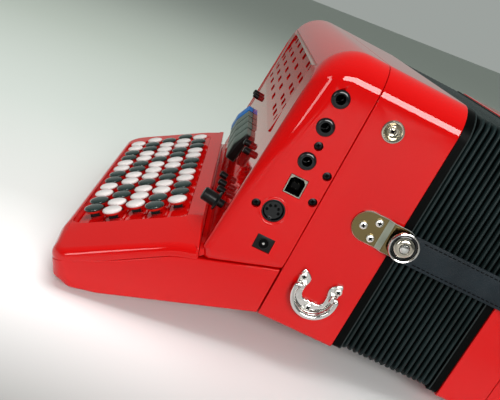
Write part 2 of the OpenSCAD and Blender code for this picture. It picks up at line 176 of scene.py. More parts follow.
def shader(name, colour, roughness, metallic=0.0, coat=0.0, coat_roughness=0.05, specular=0.5,
           sheen=0.0, coat_ior=1.5):
    """A principled material with its all-over values set on the shader."""
    material = bpy.data.materials.new(name)
    material.use_nodes = True
    material.diffuse_color = (*colour, 1.0)
    bsdf = material.node_tree.nodes["Principled BSDF"]
    bsdf.inputs["Base Color"].default_value = (*colour, 1.0)
    bsdf.inputs["Roughness"].default_value = roughness
    bsdf.inputs["Metallic"].default_value = metallic
    bsdf.inputs["Coat Weight"].default_value = coat
    bsdf.inputs["Coat Roughness"].default_value = coat_roughness
    bsdf.inputs["Coat IOR"].default_value = coat_ior
    bsdf.inputs["Specular IOR Level"].default_value = specular
    bsdf.inputs["Sheen Weight"].default_value = sheen
    return material


def node(material, kind, **values):
    made = material.node_tree.nodes.new(kind)
    for key, value in values.items():
        if key in made.inputs:
            made.inputs[key].default_value = value
        else:
            setattr(made, key, value)
    return made


def link(material, source, target):
    material.node_tree.links.new(source, target)


def coordinates(material, scale):
    """Object coordinates, stretched by scale along each axis."""
    place = node(material, "ShaderNodeTexCoord")
    mapping = node(material, "ShaderNodeMapping")
    mapping.inputs["Scale"].default_value = scale
    link(material, place.outputs["Object"], mapping.inputs["Vector"])
    return mapping.outputs["Vector"]


def noise(material, scale, detail=4.0, stretch=(1, 1, 1), rough=0.5):
    texture = node(material, "ShaderNodeTexNoise")
    texture.inputs["Scale"].default_value = scale
    texture.inputs["Detail"].default_value = detail
    texture.inputs["Roughness"].default_value = rough
    link(material, coordinates(material, stretch), texture.inputs["Vector"])
    return texture.outputs["Fac"]


def ramp(material, source, low, high, start=0.35, end=0.65):
    """Maps a 0 to 1 value onto two colours."""
    made = node(material, "ShaderNodeValToRGB")
    made.color_ramp.elements[0].position = start
    made.color_ramp.elements[0].color = (*low, 1.0)
    made.color_ramp.elements[1].position = end
    made.color_ramp.elements[1].color = (*high, 1.0)
    link(material, source, made.inputs["Fac"])
    return made.outputs["Color"]


def spread(material, source, low, high):
    """Maps a 0 to 1 value onto a range of numbers."""
    made = node(material, "ShaderNodeMapRange")
    made.inputs["From Min"].default_value = 0.3
    made.inputs["From Max"].default_value = 0.7
    made.inputs["To Min"].default_value = low
    made.inputs["To Max"].default_value = high
    link(material, source, made.inputs["Value"])
    return made.outputs["Result"]


def set_colour(material, output):
    bsdf = material.node_tree.nodes["Principled BSDF"]
    link(material, output, bsdf.inputs["Base Color"])


def set_roughness(material, output):
    bsdf = material.node_tree.nodes["Principled BSDF"]
    link(material, output, bsdf.inputs["Roughness"])


def set_bump(material, output, strength, distance):
    bump = node(material, "ShaderNodeBump")
    bump.inputs["Strength"].default_value = strength
    bump.inputs["Distance"].default_value = distance
    link(material, output, bump.inputs["Height"])
    bsdf = material.node_tree.nodes["Principled BSDF"]
    link(material, bump.outputs["Normal"], bsdf.inputs["Normal"])


def shade_of(colour, factor):
    return tuple(min(1.0, c * factor) for c in colour)


def waves(material, scale, direction, distortion=0.0):
    texture = node(material, "ShaderNodeTexWave")
    texture.inputs["Scale"].default_value = scale
    texture.inputs["Distortion"].default_value = distortion
    texture.bands_direction = direction
    link(material, coordinates(material, (1, 1, 1)), texture.inputs["Vector"])
    return texture.outputs["Fac"]


def grained(material, colour, darker, patches, grain, rough, bump):
    """Faint colour patches, uneven roughness and a fine bump, each from its own noise.

    patches and grain are what noise() takes, rough is the lowest and highest roughness,
    and bump is the scale and detail of its noise, then its strength and distance.
    """
    mottled = noise(material, *patches)
    set_colour(material, ramp(material, mottled, shade_of(colour, darker), colour))
    set_roughness(material, spread(material, noise(material, *grain), *rough))
    set_bump(material, noise(material, *bump[:2]), *bump[2:])
    return material


def red_lacquer(name="red_lacquer", colour=(0.49, 0.0020, 0.0020)):
    """Deep glossy red with faint depth variation and an orange-peel clear coat."""
    made = shader(name, colour, 0.4, coat=1.0, coat_roughness=0.03, specular=0.0, coat_ior=1.40)
    return grained(made, colour, 0.94, (9.0, 2.0), (40.0, 3.0), (0.36, 0.44),
                   (260.0, 2.0, 0.03, 0.0004))


def gloss_plastic(name, colour, roughness=0.3, coat=0.9):
    made = shader(name, colour, roughness, coat=coat, coat_roughness=0.06, specular=0.15,
                  coat_ior=1.45)
    return grained(made, colour, 0.9, (60.0, 3.0), (150.0, 3.0),
                   (roughness * 0.8, roughness * 1.3), (500.0, 2.0, 0.03, 0.0002))


def satin_plastic(name, colour, roughness=0.42, specular=0.35):
    """Moulded plastic with a fine spark-eroded grain."""
    made = shader(name, colour, roughness, specular=specular)
    return grained(made, colour, 0.8, (90.0, 4.0), (700.0, 4.0),
                   (roughness * 0.85, roughness * 1.2), (1800.0, 3.0, 0.12, 0.0002))


def chrome(name="chrome", colour=(0.70, 0.70, 0.68), roughness=0.1):
    """Polished plating with faint handling marks."""
    made = shader(name, colour, roughness, metallic=1.0)
    return grained(made, colour, 0.9, (70.0, 4.0), (120.0, 6.0, (1.0, 1.0, 4.0), 0.7),
                   (roughness * 0.6, roughness * 1.8), (200.0, 2.0, 0.01, 0.0002))


def brushed(name, colour, roughness=0.3):
    made = shader(name, colour, roughness, metallic=1.0)
    streaks = noise(made, 220.0, 5.0, (1.0, 1.0, 12.0), 0.7)
    set_colour(made, ramp(made, streaks, shade_of(colour, 0.7), colour))
    set_roughness(made, spread(made, streaks, roughness * 0.7, roughness * 1.4))
    set_bump(made, streaks, 0.08, 0.0002)
    return made


def leather(name, colour, pale, grain=900.0, roughness=0.42):
    """Fine pebbled hide: cell grain, creases and worn high spots."""
    made = shader(name, colour, roughness, specular=0.2, sheen=0.01)
    cells = node(made, "ShaderNodeTexVoronoi")
    cells.inputs["Scale"].default_value = grain
    link(made, coordinates(made, (1, 1, 1)), cells.inputs["Vector"])
    set_colour(made, ramp(made, noise(made, 45.0, 6.0), colour, pale, 0.35, 0.75))
    set_roughness(made, spread(made, noise(made, 160.0, 5.0), roughness * 0.8, roughness * 1.25))
    set_bump(made, cells.outputs["Distance"], 0.35, 0.0003)
    return made


def thread(name, colour, specular=0.5, sheen=0.3):
    """Twisted sewing thread."""
    made = shader(name, colour, 0.6, specular=specular, sheen=sheen)
    twist = waves(made, 700.0, "DIAGONAL")
    set_colour(made, ramp(made, twist, colour, shade_of(colour, 1.6), 0.2, 0.8))
    set_bump(made, twist, 0.4, 0.0001)
    return made


def bellows_cloth(name, colour, pale):
    """Black calico with a woven grain and a soft gloss on the folds."""
    made = shader(name, colour, 0.42, specular=0.15)
    set_colour(made, ramp(made, noise(made, 35.0, 5.0), colour, pale, 0.3, 0.75))
    set_roughness(made, spread(made, noise(made, 400.0, 4.0), 0.34, 0.5))
    set_bump(made, waves(made, 620.0, "Z", 0.6), 0.22, 0.0002)
    return made


def rubber(name, colour=(0.035, 0.035, 0.035)):
    made = shader(name, colour, 0.75, specular=0.3)
    return grained(made, colour, 0.7, (120.0, 4.0), (300.0, 4.0), (0.65, 0.85),
                   (1400.0, 4.0, 0.3, 0.0003))


RED = red_lacquer()
RED_SKIRT = gloss_plastic("red_skirt", (0.48, 0.014, 0.008), 0.35, 0.4)
BLACK_CAP = gloss_plastic("black_cap", (0.012, 0.026, 0.024), 0.25)
WHITE_CAP = gloss_plastic("white_cap", (0.66, 0.62, 0.61), 0.3)
BLACK = satin_plastic("black_plastic", (0.004, 0.0045, 0.0045), 0.36, 0.2)
BLACK_GLOSS = gloss_plastic("black_gloss", (0.003, 0.004, 0.005), 0.2, 0.55)
# Near-black with hardly any gloss: the black of socket plastic, and painted shade standing in for
# the dark of holes, openings and screw crosses.
BLACK_AND_HOLE_SHADE = satin_plastic("socket_black_and_hole_shade", (0.0012, 0.0012, 0.0012), 0.7, 0.05)
TAB_GREY = satin_plastic("register_grey", (0.085, 0.115, 0.098), 0.36, 0.15)
TAB_BLUE = satin_plastic("register_blue", (0.002, 0.13, 0.45), 0.36, 0.15)
CHROME = chrome()
# Darkened warm chrome for the clasp plates: the dark reflection of the room in front is painted
# into its colour.
PLATE_PAINTED_REFLECTION = chrome("plate_chrome_painted_reflection", (0.19, 0.145, 0.065), 0.12)
NICKEL = brushed("nickel", (0.52, 0.50, 0.43), 0.24)
CUP_PLATING = chrome("cup_plating", (0.56, 0.52, 0.44), 0.12)
# Pale plating: a painted highlight on the clasp plates' chamfered rims, and the plating of the
# plate screws' heads.
RIM_HIGHLIGHT_AND_SCREW_PLATING = chrome("rim_highlight_and_screw_plating", (0.9, 0.9, 0.86), 0.3)
# Pale flat colour for the clasp plate's bend: a painted highlight.
BEND_PAINTED_HIGHLIGHT = satin_plastic("bend_painted_highlight", (0.22, 0.24, 0.19), 0.5)
BLACK_STEEL = brushed("black_steel", (0.03, 0.03, 0.032), 0.35)
LEATHER = leather("strap_leather", (0.0045, 0.0085, 0.012), (0.009, 0.015, 0.020))
HAND_LEATHER = leather("hand_leather", (0.012, 0.012, 0.012), (0.035, 0.034, 0.032), 600.0, 0.5)
THREAD = thread("strap_thread", (0.0005, 0.0006, 0.0008), 0.1, 0.0)
BEAD = thread("frame_bead", (0.010, 0.015, 0.015), 0.2, 0.0)
PALE_THREAD = thread("hand_thread", (0.05, 0.05, 0.05))
CLOTH = bellows_cloth("bellows_cloth", (0.005, 0.010, 0.010), (0.010, 0.019, 0.020))
# A much darker copy of the cloth for the faces beside each fold's valley: painted shade in the
# creases.
CLOTH_VALLEY_SHADE = bellows_cloth("bellows_valley_painted_shade", (0.0007, 0.0012, 0.0012), (0.0015, 0.0025, 0.0025))
FRAME_BLACK = satin_plastic("frame_black", (0.0012, 0.0014, 0.0014), 0.4, 0.04)
RUBBER = rubber("pad_rubber")

# ---------------------------------------------------------------- mesh building


def corner_arc(point, before, after, radius, steps):
    """Points of a fillet at one corner of an outline."""
    p, u, v = Vector(point), Vector(before) - Vector(point), Vector(after) - Vector(point)
    u.normalize()
    v.normalize()
    half = u.angle(v) / 2
    centre = p + (u + v).normalized() * radius / math.sin(half)
    first = p + u * radius / math.tan(half) - centre
    last = p + v * radius / math.tan(half) - centre
    return [centre + (first.lerp(last, i / steps)).normalized() * radius
            for i in range(steps + 1)]


def rounded(points, radii, steps=8):
    """An outline with each corner filleted."""
    count = len(points)
    made = []
    for i, point in enumerate(points):
        if radii[i] > 0:
            made += corner_arc(point, points[i - 1], points[(i + 1) % count], radii[i], steps)
        else:
            made.append(Vector(point))
    return made


class Shape:
    """Collects faces in the instrument's frame and turns them into one object."""

    def __init__(self, *materials):
        self.materials = materials
        self.verts = []
        self.faces = []
        self.slots = []

    def add(self, verts, faces, slot=0):
        base = len(self.verts)
        self.verts += [Vector(v) for v in verts]
        self.faces += [tuple(base + i for i in face) for face in faces]
        self.slots += [slot] * len(faces)
        return self

    def loft(self, rings, slot=0, caps=(True, True), wrap=False):
        """Skin over closed rings that all have the same number of points."""
        size = len(rings[0])
        verts = [p for ring in rings for p in ring]
        faces = []
        last = len(rings) if wrap else len(rings) - 1
        for k in range(last):
            a, b = k * size, ((k + 1) % len(rings)) * size
            for i in range(size):
                j = (i + 1) % size
                faces.append((a + i, a + j, b + j, b + i))
        if not wrap and caps[0]:
            faces.append(tuple(range(size))[::-1])
        if not wrap and caps[1]:
            base = (len(rings) - 1) * size
            faces.append(tuple(range(base, base + size)))
        return self.add(verts, faces, slot)

    def lathe(self, profile, centre, axis, slot=0, steps=32, start=0.0):
        """Turns (radius, height) points about an axis; a radius of 0 closes the end."""
        axis = Vector(axis).normalized()
        side = axis.orthogonal().normalized()
        other = axis.cross(side)
        centre = Vector(centre)
        verts, rings = [], []
        for radius, height in profile:
            base = centre + axis * height
            if radius <= 0:
                rings.append([len(verts)])
                verts.append(base)
                continue
            rings.append([len(verts) + i for i in range(steps)])
            for i in range(steps):
                angle = start + 2 * math.pi * i / steps
                verts.append(base + (side * math.cos(angle) + other * math.sin(angle)) * radius)
        faces = []
        for a, b in zip(rings, rings[1:]):
            for i in range(steps):
                j = (i + 1) % steps
                if len(a) == 1 and len(b) > 1:
                    faces.append((a[0], b[j], b[i]))
                elif len(b) == 1 and len(a) > 1:
                    faces.append((a[i], a[j], b[0]))
                elif len(a) > 1:
                    faces.append((a[i], a[j], b[j], b[i]))
        return self.add(verts, faces, slot)

    def prism(self, outline, offset, slot=0, bevel=0.0, steps=2):
        """A flat outline of 3-D points pushed along offset, with its rims rounded by bevel."""
        outline = [Vector(p) for p in outline]
        offset = Vector(offset)
        if bevel <= 0:
            return self.loft([outline, [p + offset for p in outline]], slot)
        normal = offset.normalized()
        count = len(outline)
        area = sum((outline[i] - outline[0]).cross(outline[(i + 1) % count] - outline[0]).dot(
            normal) for i in range(count))
        flip = 1.0 if area > 0 else -1.0
        inward = []
        for i in range(count):
            tangent = (outline[(i + 1) % count] - outline[i]).normalized()
            tangent += (outline[i] - outline[i - 1]).normalized()
            tangent.normalize()
            inward.append(normal.cross(tangent) * flip)
        rings = []
        for k in range(steps + 1):
            angle = math.pi / 2 * k / steps
            shift = bevel * (1 - math.sin(angle))
            rise = bevel * (1 - math.cos(angle))
            rings.append([p + n * shift + normal * rise for p, n in zip(outline, inward)])
        length = offset.length
        for k in range(steps, -1, -1):
            angle = math.pi / 2 * k / steps
            shift = bevel * (1 - math.sin(angle))
            rise = length - bevel * (1 - math.cos(angle))
            rings.append([p + n * shift + normal * rise for p, n in zip(outline, inward)])
        return self.loft(rings, slot)

    def box(self, lo, hi, slot=0, bevel=0.0):
        """An upright box between two corners."""
        x0, y0, z0 = lo
        x1, y1, z1 = hi
        outline = [(x0, y0, z0), (x1, y0, z0), (x1, y0, z1), (x0, y0, z1)]
        return self.prism(outline, (0, y1 - y0, 0), slot, bevel)

    def tube(self, path, radius, slot=0, steps=10, closed=False):
        """A round tube along a path; radius is a number or one value per point."""
        points = [Vector(p) for p in path]
        count = len(points)
        radii = radius if isinstance(radius, (list, tuple)) else [radius] * count
        rings = []
        up = None
        for i, point in enumerate(points):
            if closed:
                tangent = points[(i + 1) % count] - points[i - 1]
            else:
                tangent = points[min(i + 1, count - 1)] - points[max(i - 1, 0)]
            tangent.normalize()
            if up is None:
                up = tangent.orthogonal().normalized()
            up = (up - tangent * up.dot(tangent)).normalized()
            side = tangent.cross(up)
            rings.append([point + (up * math.cos(2 * math.pi * k / steps)
                                   + side * math.sin(2 * math.pi * k / steps)) * radii[i]
                          for k in range(steps)])
        return self.loft(rings, slot, wrap=closed)

    def mirrored(self):
        """The same shape on the far end."""
        copy = Shape(*self.materials)
        copy.verts = [far(v) for v in self.verts]
        copy.faces = [face[::-1] for face in self.faces]
        copy.slots = list(self.slots)
        return copy

    def join(self, other):
        base = len(self.verts)
        self.verts += other.verts
        self.faces += [tuple(base + i for i in face) for face in other.faces]
        self.slots += other.slots
        return self

    def build(self, name, body=None, slot=None, replaces=(), sharp=35.0, soften=0.0,
              weighted=False):
        mesh = bpy.data.meshes.new(name)
        mesh.from_pydata([LOCAL @ v for v in self.verts], [], self.faces)
        for material in self.materials:
            mesh.materials.append(material)
        mesh.polygons.foreach_set("material_index", self.slots)
        made = bpy.data.objects.new(name, mesh)
        bpy.context.scene.collection.objects.link(made)
        clean(made, sharp, soften, weighted)
        if body:
            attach(made, body)
        if replaces:
            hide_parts(*replaces)
        return made


def clean(made, sharp=35.0, soften=0.0, weighted=False):
    """Welds, faces outwards, rounds sharp edges and sets smooth shading."""
    bm = bmesh.new()
    bm.from_mesh(made.data)
    bmesh.ops.remove_doubles(bm, verts=bm.verts, dist=1e-7)
    bmesh.ops.recalc_face_normals(bm, faces=bm.faces)
    if soften > 0:
        limit = math.radians(sharp)
        edges = [e for e in bm.edges if len(e.link_faces) == 2 and e.calc_face_angle() > limit]
        bmesh.ops.bevel(bm, geom=edges, offset=soften * MM, segments=2, profile=0.6,
                        affect="EDGES", clamp_overlap=True)
    bm.to_mesh(made.data)
    bm.free()
    made.data.shade_smooth()
    made.data.set_sharp_from_angle(angle=math.radians(sharp))
    if weighted:
        modifier = made.modifiers.new("weights", "WEIGHTED_NORMAL")
        modifier.keep_sharp = True
        settle(made)


def settle(made):
    """Applies an object's modifiers to its mesh."""
    graph = bpy.context.evaluated_depsgraph_get()
    mesh = bpy.data.meshes.new_from_object(made.evaluated_get(graph),
                                           preserve_all_data_layers=True, depsgraph=graph)
    old = made.data
    made.modifiers.clear()
    made.data = mesh
    bpy.data.meshes.remove(old)


def cut(made, cutter, sharp=30.0, soften=0.0):
    """Subtracts a Shape from an object that has already been built."""
    tool = cutter.build(made.name + "_cutter")
    modifier = made.modifiers.new("cut", "BOOLEAN")
    modifier.operation = "DIFFERENCE"
    modifier.solver = "EXACT"
    modifier.object = tool
    settle(made)
    mesh = tool.data
    bpy.data.objects.remove(tool)
    bpy.data.meshes.remove(mesh)
    bm = bmesh.new()
    bm.from_mesh(made.data)
    bmesh.ops.dissolve_limit(bm, angle_limit=math.radians(0.5), verts=bm.verts, edges=bm.edges)
    bm.to_mesh(made.data)
    bm.free()
    clean(made, sharp, soften, True)


# ---------------------------------------------------------------- casings


def ring_outline(x, bottom, top, inset, r_back, r_front, y0=0.0, y1=None, steps=12):
    """One closed ring of a casing across the bellows. x may be a function of height."""
    y1 = BODY_L if y1 is None else y1
    at = x if callable(x) else (lambda z: x)
    points = rounded(
        [(y0 + inset, bottom + inset), (y1 - inset, bottom + inset),
         (y1 - inset, top - inset), (y0 + inset, top - inset)],
        [r_back, r_back, r_front, r_front], steps)
    return [Vector((at(p[1]), p[0], p[1])) for p in points]


def edge_steps(edge=0.7):
    """(depth, inset) along a quarter round, from the rim of a seam to the full outline."""
    angles = [math.pi / 2 * k / 3 for k in range(4)]
    return [(edge * (1 - math.cos(a)), edge * (1 - math.sin(a))) for a in angles]


def casing(x0, x1):
    """A plain casing between two seams, with rounded front edges."""
    steps = edge_steps()
    rings = [ring_outline(x0 + depth, 0, DEPTH, inset, 3.4, FRONT_R - inset)
             for depth, inset in steps]
    rings += [ring_outline(x1 - depth, 0, DEPTH, inset, 3.4, FRONT_R - inset)
              for depth, inset in reversed(steps)]
    return Shape(RED).loft(rings)


def cover_bottom(x):
    """Height of the treble cover's lower seam."""
    return 18.95 + (x + 107.5) * 0.338


def treble_cover():
    """Cover with a leaning side face, broad front rounding and a rounded lower edge."""
    end_r, front_r, low_r = 7.0, 24.0, 0.8
    steps = 12

    def ring(x_of, inset_end, inset_front, inset_low, r_low, r_top):
        """x_of maps height to x; the three insets shrink ends, front and lower edge."""
        low_x = x_of(30)
        bottom = cover_bottom(low_x) + inset_low
        top = DEPTH - inset_front
        points = rounded(
            [(inset_end, bottom), (BODY_L - inset_end, bottom),
             (BODY_L - inset_end, top), (inset_end, top)],
            [r_low, r_low, r_top, r_top], steps)
        made = []
        for y, z in points:
            near_end = y < BODY_L / 2
            depth_in = (y if near_end else BODY_L - y) - inset_end
            if z < bottom + r_low + 0.01 and depth_in < r_low:
                depth_in *= 0.28
                y = inset_end + depth_in if near_end else BODY_L - inset_end - depth_in
            x = x_of(z)
            lift = (cover_bottom(x) - cover_bottom(low_x)) * max(0.0, 1 - (z - bottom) / 40)
            made.append(Vector((x, y, z + lift)))
        return made

    rings = []
    for depth, inset in edge_steps():
        x = SEAM_X - 0.25 - depth
        rings.append(ring(lambda z, x=x: x, inset, inset, inset * 0.4, 8.5, FRONT_R - inset))
    rounds = 9
    for t in (0.4, 0.92):
        rings.append(ring(
            lambda z, t=t: (SEAM_X - 1) * (1 - t) + t * (side_x(z) + blend_r(z, end_r, front_r)),
            0, 0, 0, 8.5, FRONT_R))
    for k in range(rounds + 1):
        angle = math.pi / 2 * k / rounds
        grow = 1 - math.cos(angle)
        back = 1 - math.sin(angle)
        rings.append(ring(
            lambda z, back=back: side_x(z) + back * blend_r(z, end_r, front_r),
            end_r * grow, front_r * grow, low_r * grow,
            8.5 - 3 * grow, FRONT_R - 8 * grow))
    rings.append(ring(side_x, end_r + 1.2, front_r + 1.2, low_r + 0.8, 5.2, 11.5))
    return Shape(RED).loft(rings)


def blend_r(z, end_r, front_r):
    """Edge radius of the cover, growing towards the front."""
    t = min(1.0, max(0.0, (z - 110.0) / (DEPTH - 110.0)))
    return end_r + (front_r - end_r) * t * t * (3 - 2 * t)


JACKS = solids("jack_collars")
USB = middle(extent("usb_socket"))
MIDI = middle(extent("midi_socket"))
DC = middle(extent("dc_inlet"))
SCREWS = [middle(pair) for pair in solids("case_screws")]
NEAR_SCREWS = [p for p in SCREWS if p.y < BODY_L / 2]
CUP = middle(solids("screw_cups")[0])
LOW_PRESETS = [middle(pair) for pair in solids("low_presets")]
HIGH_PRESETS = [middle(pair) for pair in solids("high_presets")]
TABS = [middle(extent("register_%d" % i)) for i in range(1, 6)]
KNOB = middle(extent("volume_knob"))
GRILLE_U = (106.0, 158.0)
GRILLE_Y = (38.0, BODY_L - 38.0)
PRESET_R = 2.7


def to_side(point):
    """(up the face, y) of a point seen square to the side face."""
    return (Vector(point) - Vector((SIDE_X0, 0, 0))).dot(SIDE_UP), point[1]


def side_plate(u0, u1, y0, y1, radius, n, steps=5):
    """A rounded rectangle on the side face at height n."""
    outline = rounded([(u0, y0), (u1, y0), (u1, y1), (u0, y1)], [radius] * 4, steps)
    return [on_side(u, y, n) for u, y in outline]


def cover_cuts():
    """Everything that pierces the treble cover."""
    cutter = Shape(RED)
    for pair in JACKS:
        at = middle(pair)
        cutter.lathe([(0, -3), (5.95, -3), (5.95, 18), (0, 18)], (at.x, 0, at.z), (0, 1, 0),
                     steps=40)
    cutter.box((USB.x - 6.1, -3, USB.z - 6.6), (USB.x + 6.1, 20, USB.z + 6.6))
    cutter.lathe([(0, -3), (7.6, -3), (7.6, 18), (0, 18)], (MIDI.x, 0, MIDI.z), (0, 1, 0),
                 steps=48)
    cutter.box((DC.x - 6.1, -3, DC.z - 5.1), (DC.x + 6.1, 18, DC.z + 5.1))
    for at in SCREWS:
        end = 1 if at.y < BODY_L / 2 else -1
        face = 0 if end == 1 else BODY_L
        cutter.lathe([(0, -3), (3.0, -3), (3.0, 9), (0, 9)], (at.x, face, at.z), (0, end, 0),
                     steps=28)
    return cutter


def side_cuts():
    """Recess of the grille, slots of the tabs, holes of buttons and knob."""
    cutter = Shape(RED)
    cutter.prism(side_plate(*GRILLE_U, *GRILLE_Y, 4.0, -5.0), SIDE_OUT * 12)
    for tab in TABS:
        cutter.prism(side_plate(54.4, 81.6, tab.y - 10.8, tab.y + 10.8, 1.2, -6), SIDE_OUT * 12)
    for at in LOW_PRESETS + HIGH_PRESETS:
        u, y = to_side(at)
        cutter.lathe([(0, -6), (PRESET_R + 0.35, -6), (PRESET_R + 0.35, 6), (0, 6)],
                     on_side(u, y, 0), SIDE_OUT, steps=28)
    u, y = to_side(KNOB)
    cutter.lathe([(0, -6), (3.3, -6), (3.3, 6), (0, 6)], on_side(u, y, 0), SIDE_OUT, steps=28)
    return cutter


def build_casings():
    main = casing(SEAM_X, FRAME_X).build(
        "treble_casing_shell", "treble_side", "red_lacquer", ["treble_casing"], weighted=True)
    cutter = Shape(RED)
    cutter.lathe([(0, -3), (5.9, -3), (5.9, 3.4), (0, 3.4)], (CUP.x, 0, CUP.z), (0, 1, 0),
                 steps=40)
    cutter.join(cutter.mirrored())
    cut(main, cutter)
    cover = treble_cover().build("treble_cover_shell", "treble_side", "red_lacquer",
                                 ["treble_cover"], weighted=True)
    cut(cover, cover_cuts())
    cut(cover, side_cuts())
    casing(BASS_X, BASS_SEAM_X).build(
        "bass_casing_shell", "bass_side", "red_lacquer", ["bass_casing"], weighted=True)


def bass_cover():
    """Bass cover: flat outer face, inclined button board and rounded front corners."""
    path = rounded([(BASS_SEAM_X, DEPTH), BASS_BEND, BASS_SHOULDER, (END_X, 60)],
                   [0, 12, 0, 0], 8)[:-1]
    edge_r = 7.0
    rings = [ring_outline(BASS_SEAM_X + 0.25 + depth, 0, DEPTH, inset, 3.4, FRONT_R - inset)
             for depth, inset in edge_steps()]
    for x, top in path:
        if not BASS_SEAM_X + 1.5 < x < END_X - edge_r - 1:
            continue
        rings.append(ring_outline(x, 0, top, 0, 3.4, FRONT_R))
    slope = (BASS_SHOULDER[1] - BASS_BEND[1]) / (BASS_SHOULDER[0] - BASS_BEND[0])
    steps = 8
    for k in range(steps + 1):
        angle = math.pi / 2 * k / steps
        inset = edge_r * (1 - math.cos(angle))
        x = END_X - edge_r * (1 - math.sin(angle))
        top = BASS_SHOULDER[1] + slope * (x - END_X) + 1.0
        rings.append(ring_outline(x, 0, top - 0.4 * inset, inset * 0.8, 4.0,
                                  FRONT_R - 8 * (1 - math.cos(angle))))
    rings.append(ring_outline(END_X, 0, BASS_SHOULDER[1] - 0.4 * edge_r + 1.0, edge_r * 0.8 + 1.5,
                              4.0, 11.0))
    return Shape(RED).loft(rings)


BASS_BUTTONS = {i: [middle(pair) for pair in solids("bass_row_%d" % i)] for i in range(1, 7)}
AIR = middle(extent("air_button"))


def to_bass(point):
    """(down the slope, y) of a point seen square to the bass board."""
    return (Vector(point) - Vector((BASS_BEND[0], 0, BASS_BEND[1]))).dot(BASS_DOWN), point[1]


def build_bass_cover():
    cover = bass_cover().build("bass_cover_shell", "bass_side", "red_lacquer", ["bass_cover"],
                               weighted=True)
    cutter = Shape(RED)
    for row in BASS_BUTTONS.values():
        for at in row:
            t, y = to_bass(at)
            cutter.lathe([(0, -14), (4.6, -14), (4.6, 8), (0, 8)], on_bass(t, y, 0), BASS_OUT,
                         steps=24)
    cutter.lathe([(0, -14), (7.4, -14), (7.4, 6), (0, 6)], (END_X, AIR.y, AIR.z), (1, 0, 0),
                 steps=36)
    cut(cover, cutter)


# ---------------------------------------------------------------- keyboard shelf

SEAM_POINTS = [(-182.0, 85.2), (-179.0, 84.5), (-170.0, 82.4), (-152.0, 80.6), (-129.3, 79.8),
               (-96.2, 78.8), (-87.8, 76.9), (-80.4, 75.2), (-60.0, 70.8)]
LEVEL_POINTS = [(-156.0, 97.5), (-112.0, 95.8), (-94.0, 95.1), (-76.0, 93.0)]
NEAR_EDGE_POINTS = [(-180.0, 90.8), (-166.0, 90.0), (-94.0, 86.0), (-76.0, 81.6)]
SHELL_S = (-177.7, -76.6)


def along(points, s):
    """Height at s on a broken line."""
    for (s0, d0), (s1, d1) in zip(points, points[1:]):
        if s <= s1:
            t = max(0.0, (s - s0) / (s1 - s0))
            return d0 + (d1 - d0) * t
    return points[-1][1]


def shell_top(s, y):
    """Height of the shell's top surface: nearly level rim, inner strip and the near ramp."""
    share = min(1.0, max(0.0, (y - SHELF_Y[0]) / (RECESS_Y[0] - SHELF_Y[0])))
    near = along(NEAR_EDGE_POINTS, s)
    return near + (along(LEVEL_POINTS, s) - near) * share


def plan(s0, s1, y0, y1, radii, right, left, steps=10):
    """Rounded rectangle in the board's plane; right and left list the places of the points
    along those two sides."""
    corners = [(s0, y0), (s1, y0), (s1, y1), (s0, y1)]
    made = []
    for i, point in enumerate(corners):
        arc = corner_arc(point, corners[i - 1], corners[(i + 1) % 4], radii[i], steps)
        if i == 2:
            made += [Vector((s1, y)) for y in right]
        elif made:
            start = made[-1]
            made += [start.lerp(arc[0], k / 13) for k in range(1, 13)]
        made += arc
    return made + [Vector((s0, y)) for y in left]


def inward_normals(points):
    """Unit normals that point into a counter-clockwise plane outline."""
    made = []
    count = len(points)
    for i in range(count):
        tangent = points[(i + 1) % count] - points[i - 1]
        made.append(Vector((-tangent.y, tangent.x)).normalized())
    return made


def edge_size(normal):
    """(run in, drop) of the shell's edge rounding for an inward plan normal."""
    left, right = max(0.0, normal.x) ** 2, max(0.0, -normal.x) ** 2
    near, back = max(0.0, normal.y) ** 2, max(0.0, -normal.y) ** 2
    return (left * 8.6 + right * 1.0 + near * 4.0 + back * 6.0,
            left * 11.5 + right * 1.0 + near * 5.0 + back * 7.0)


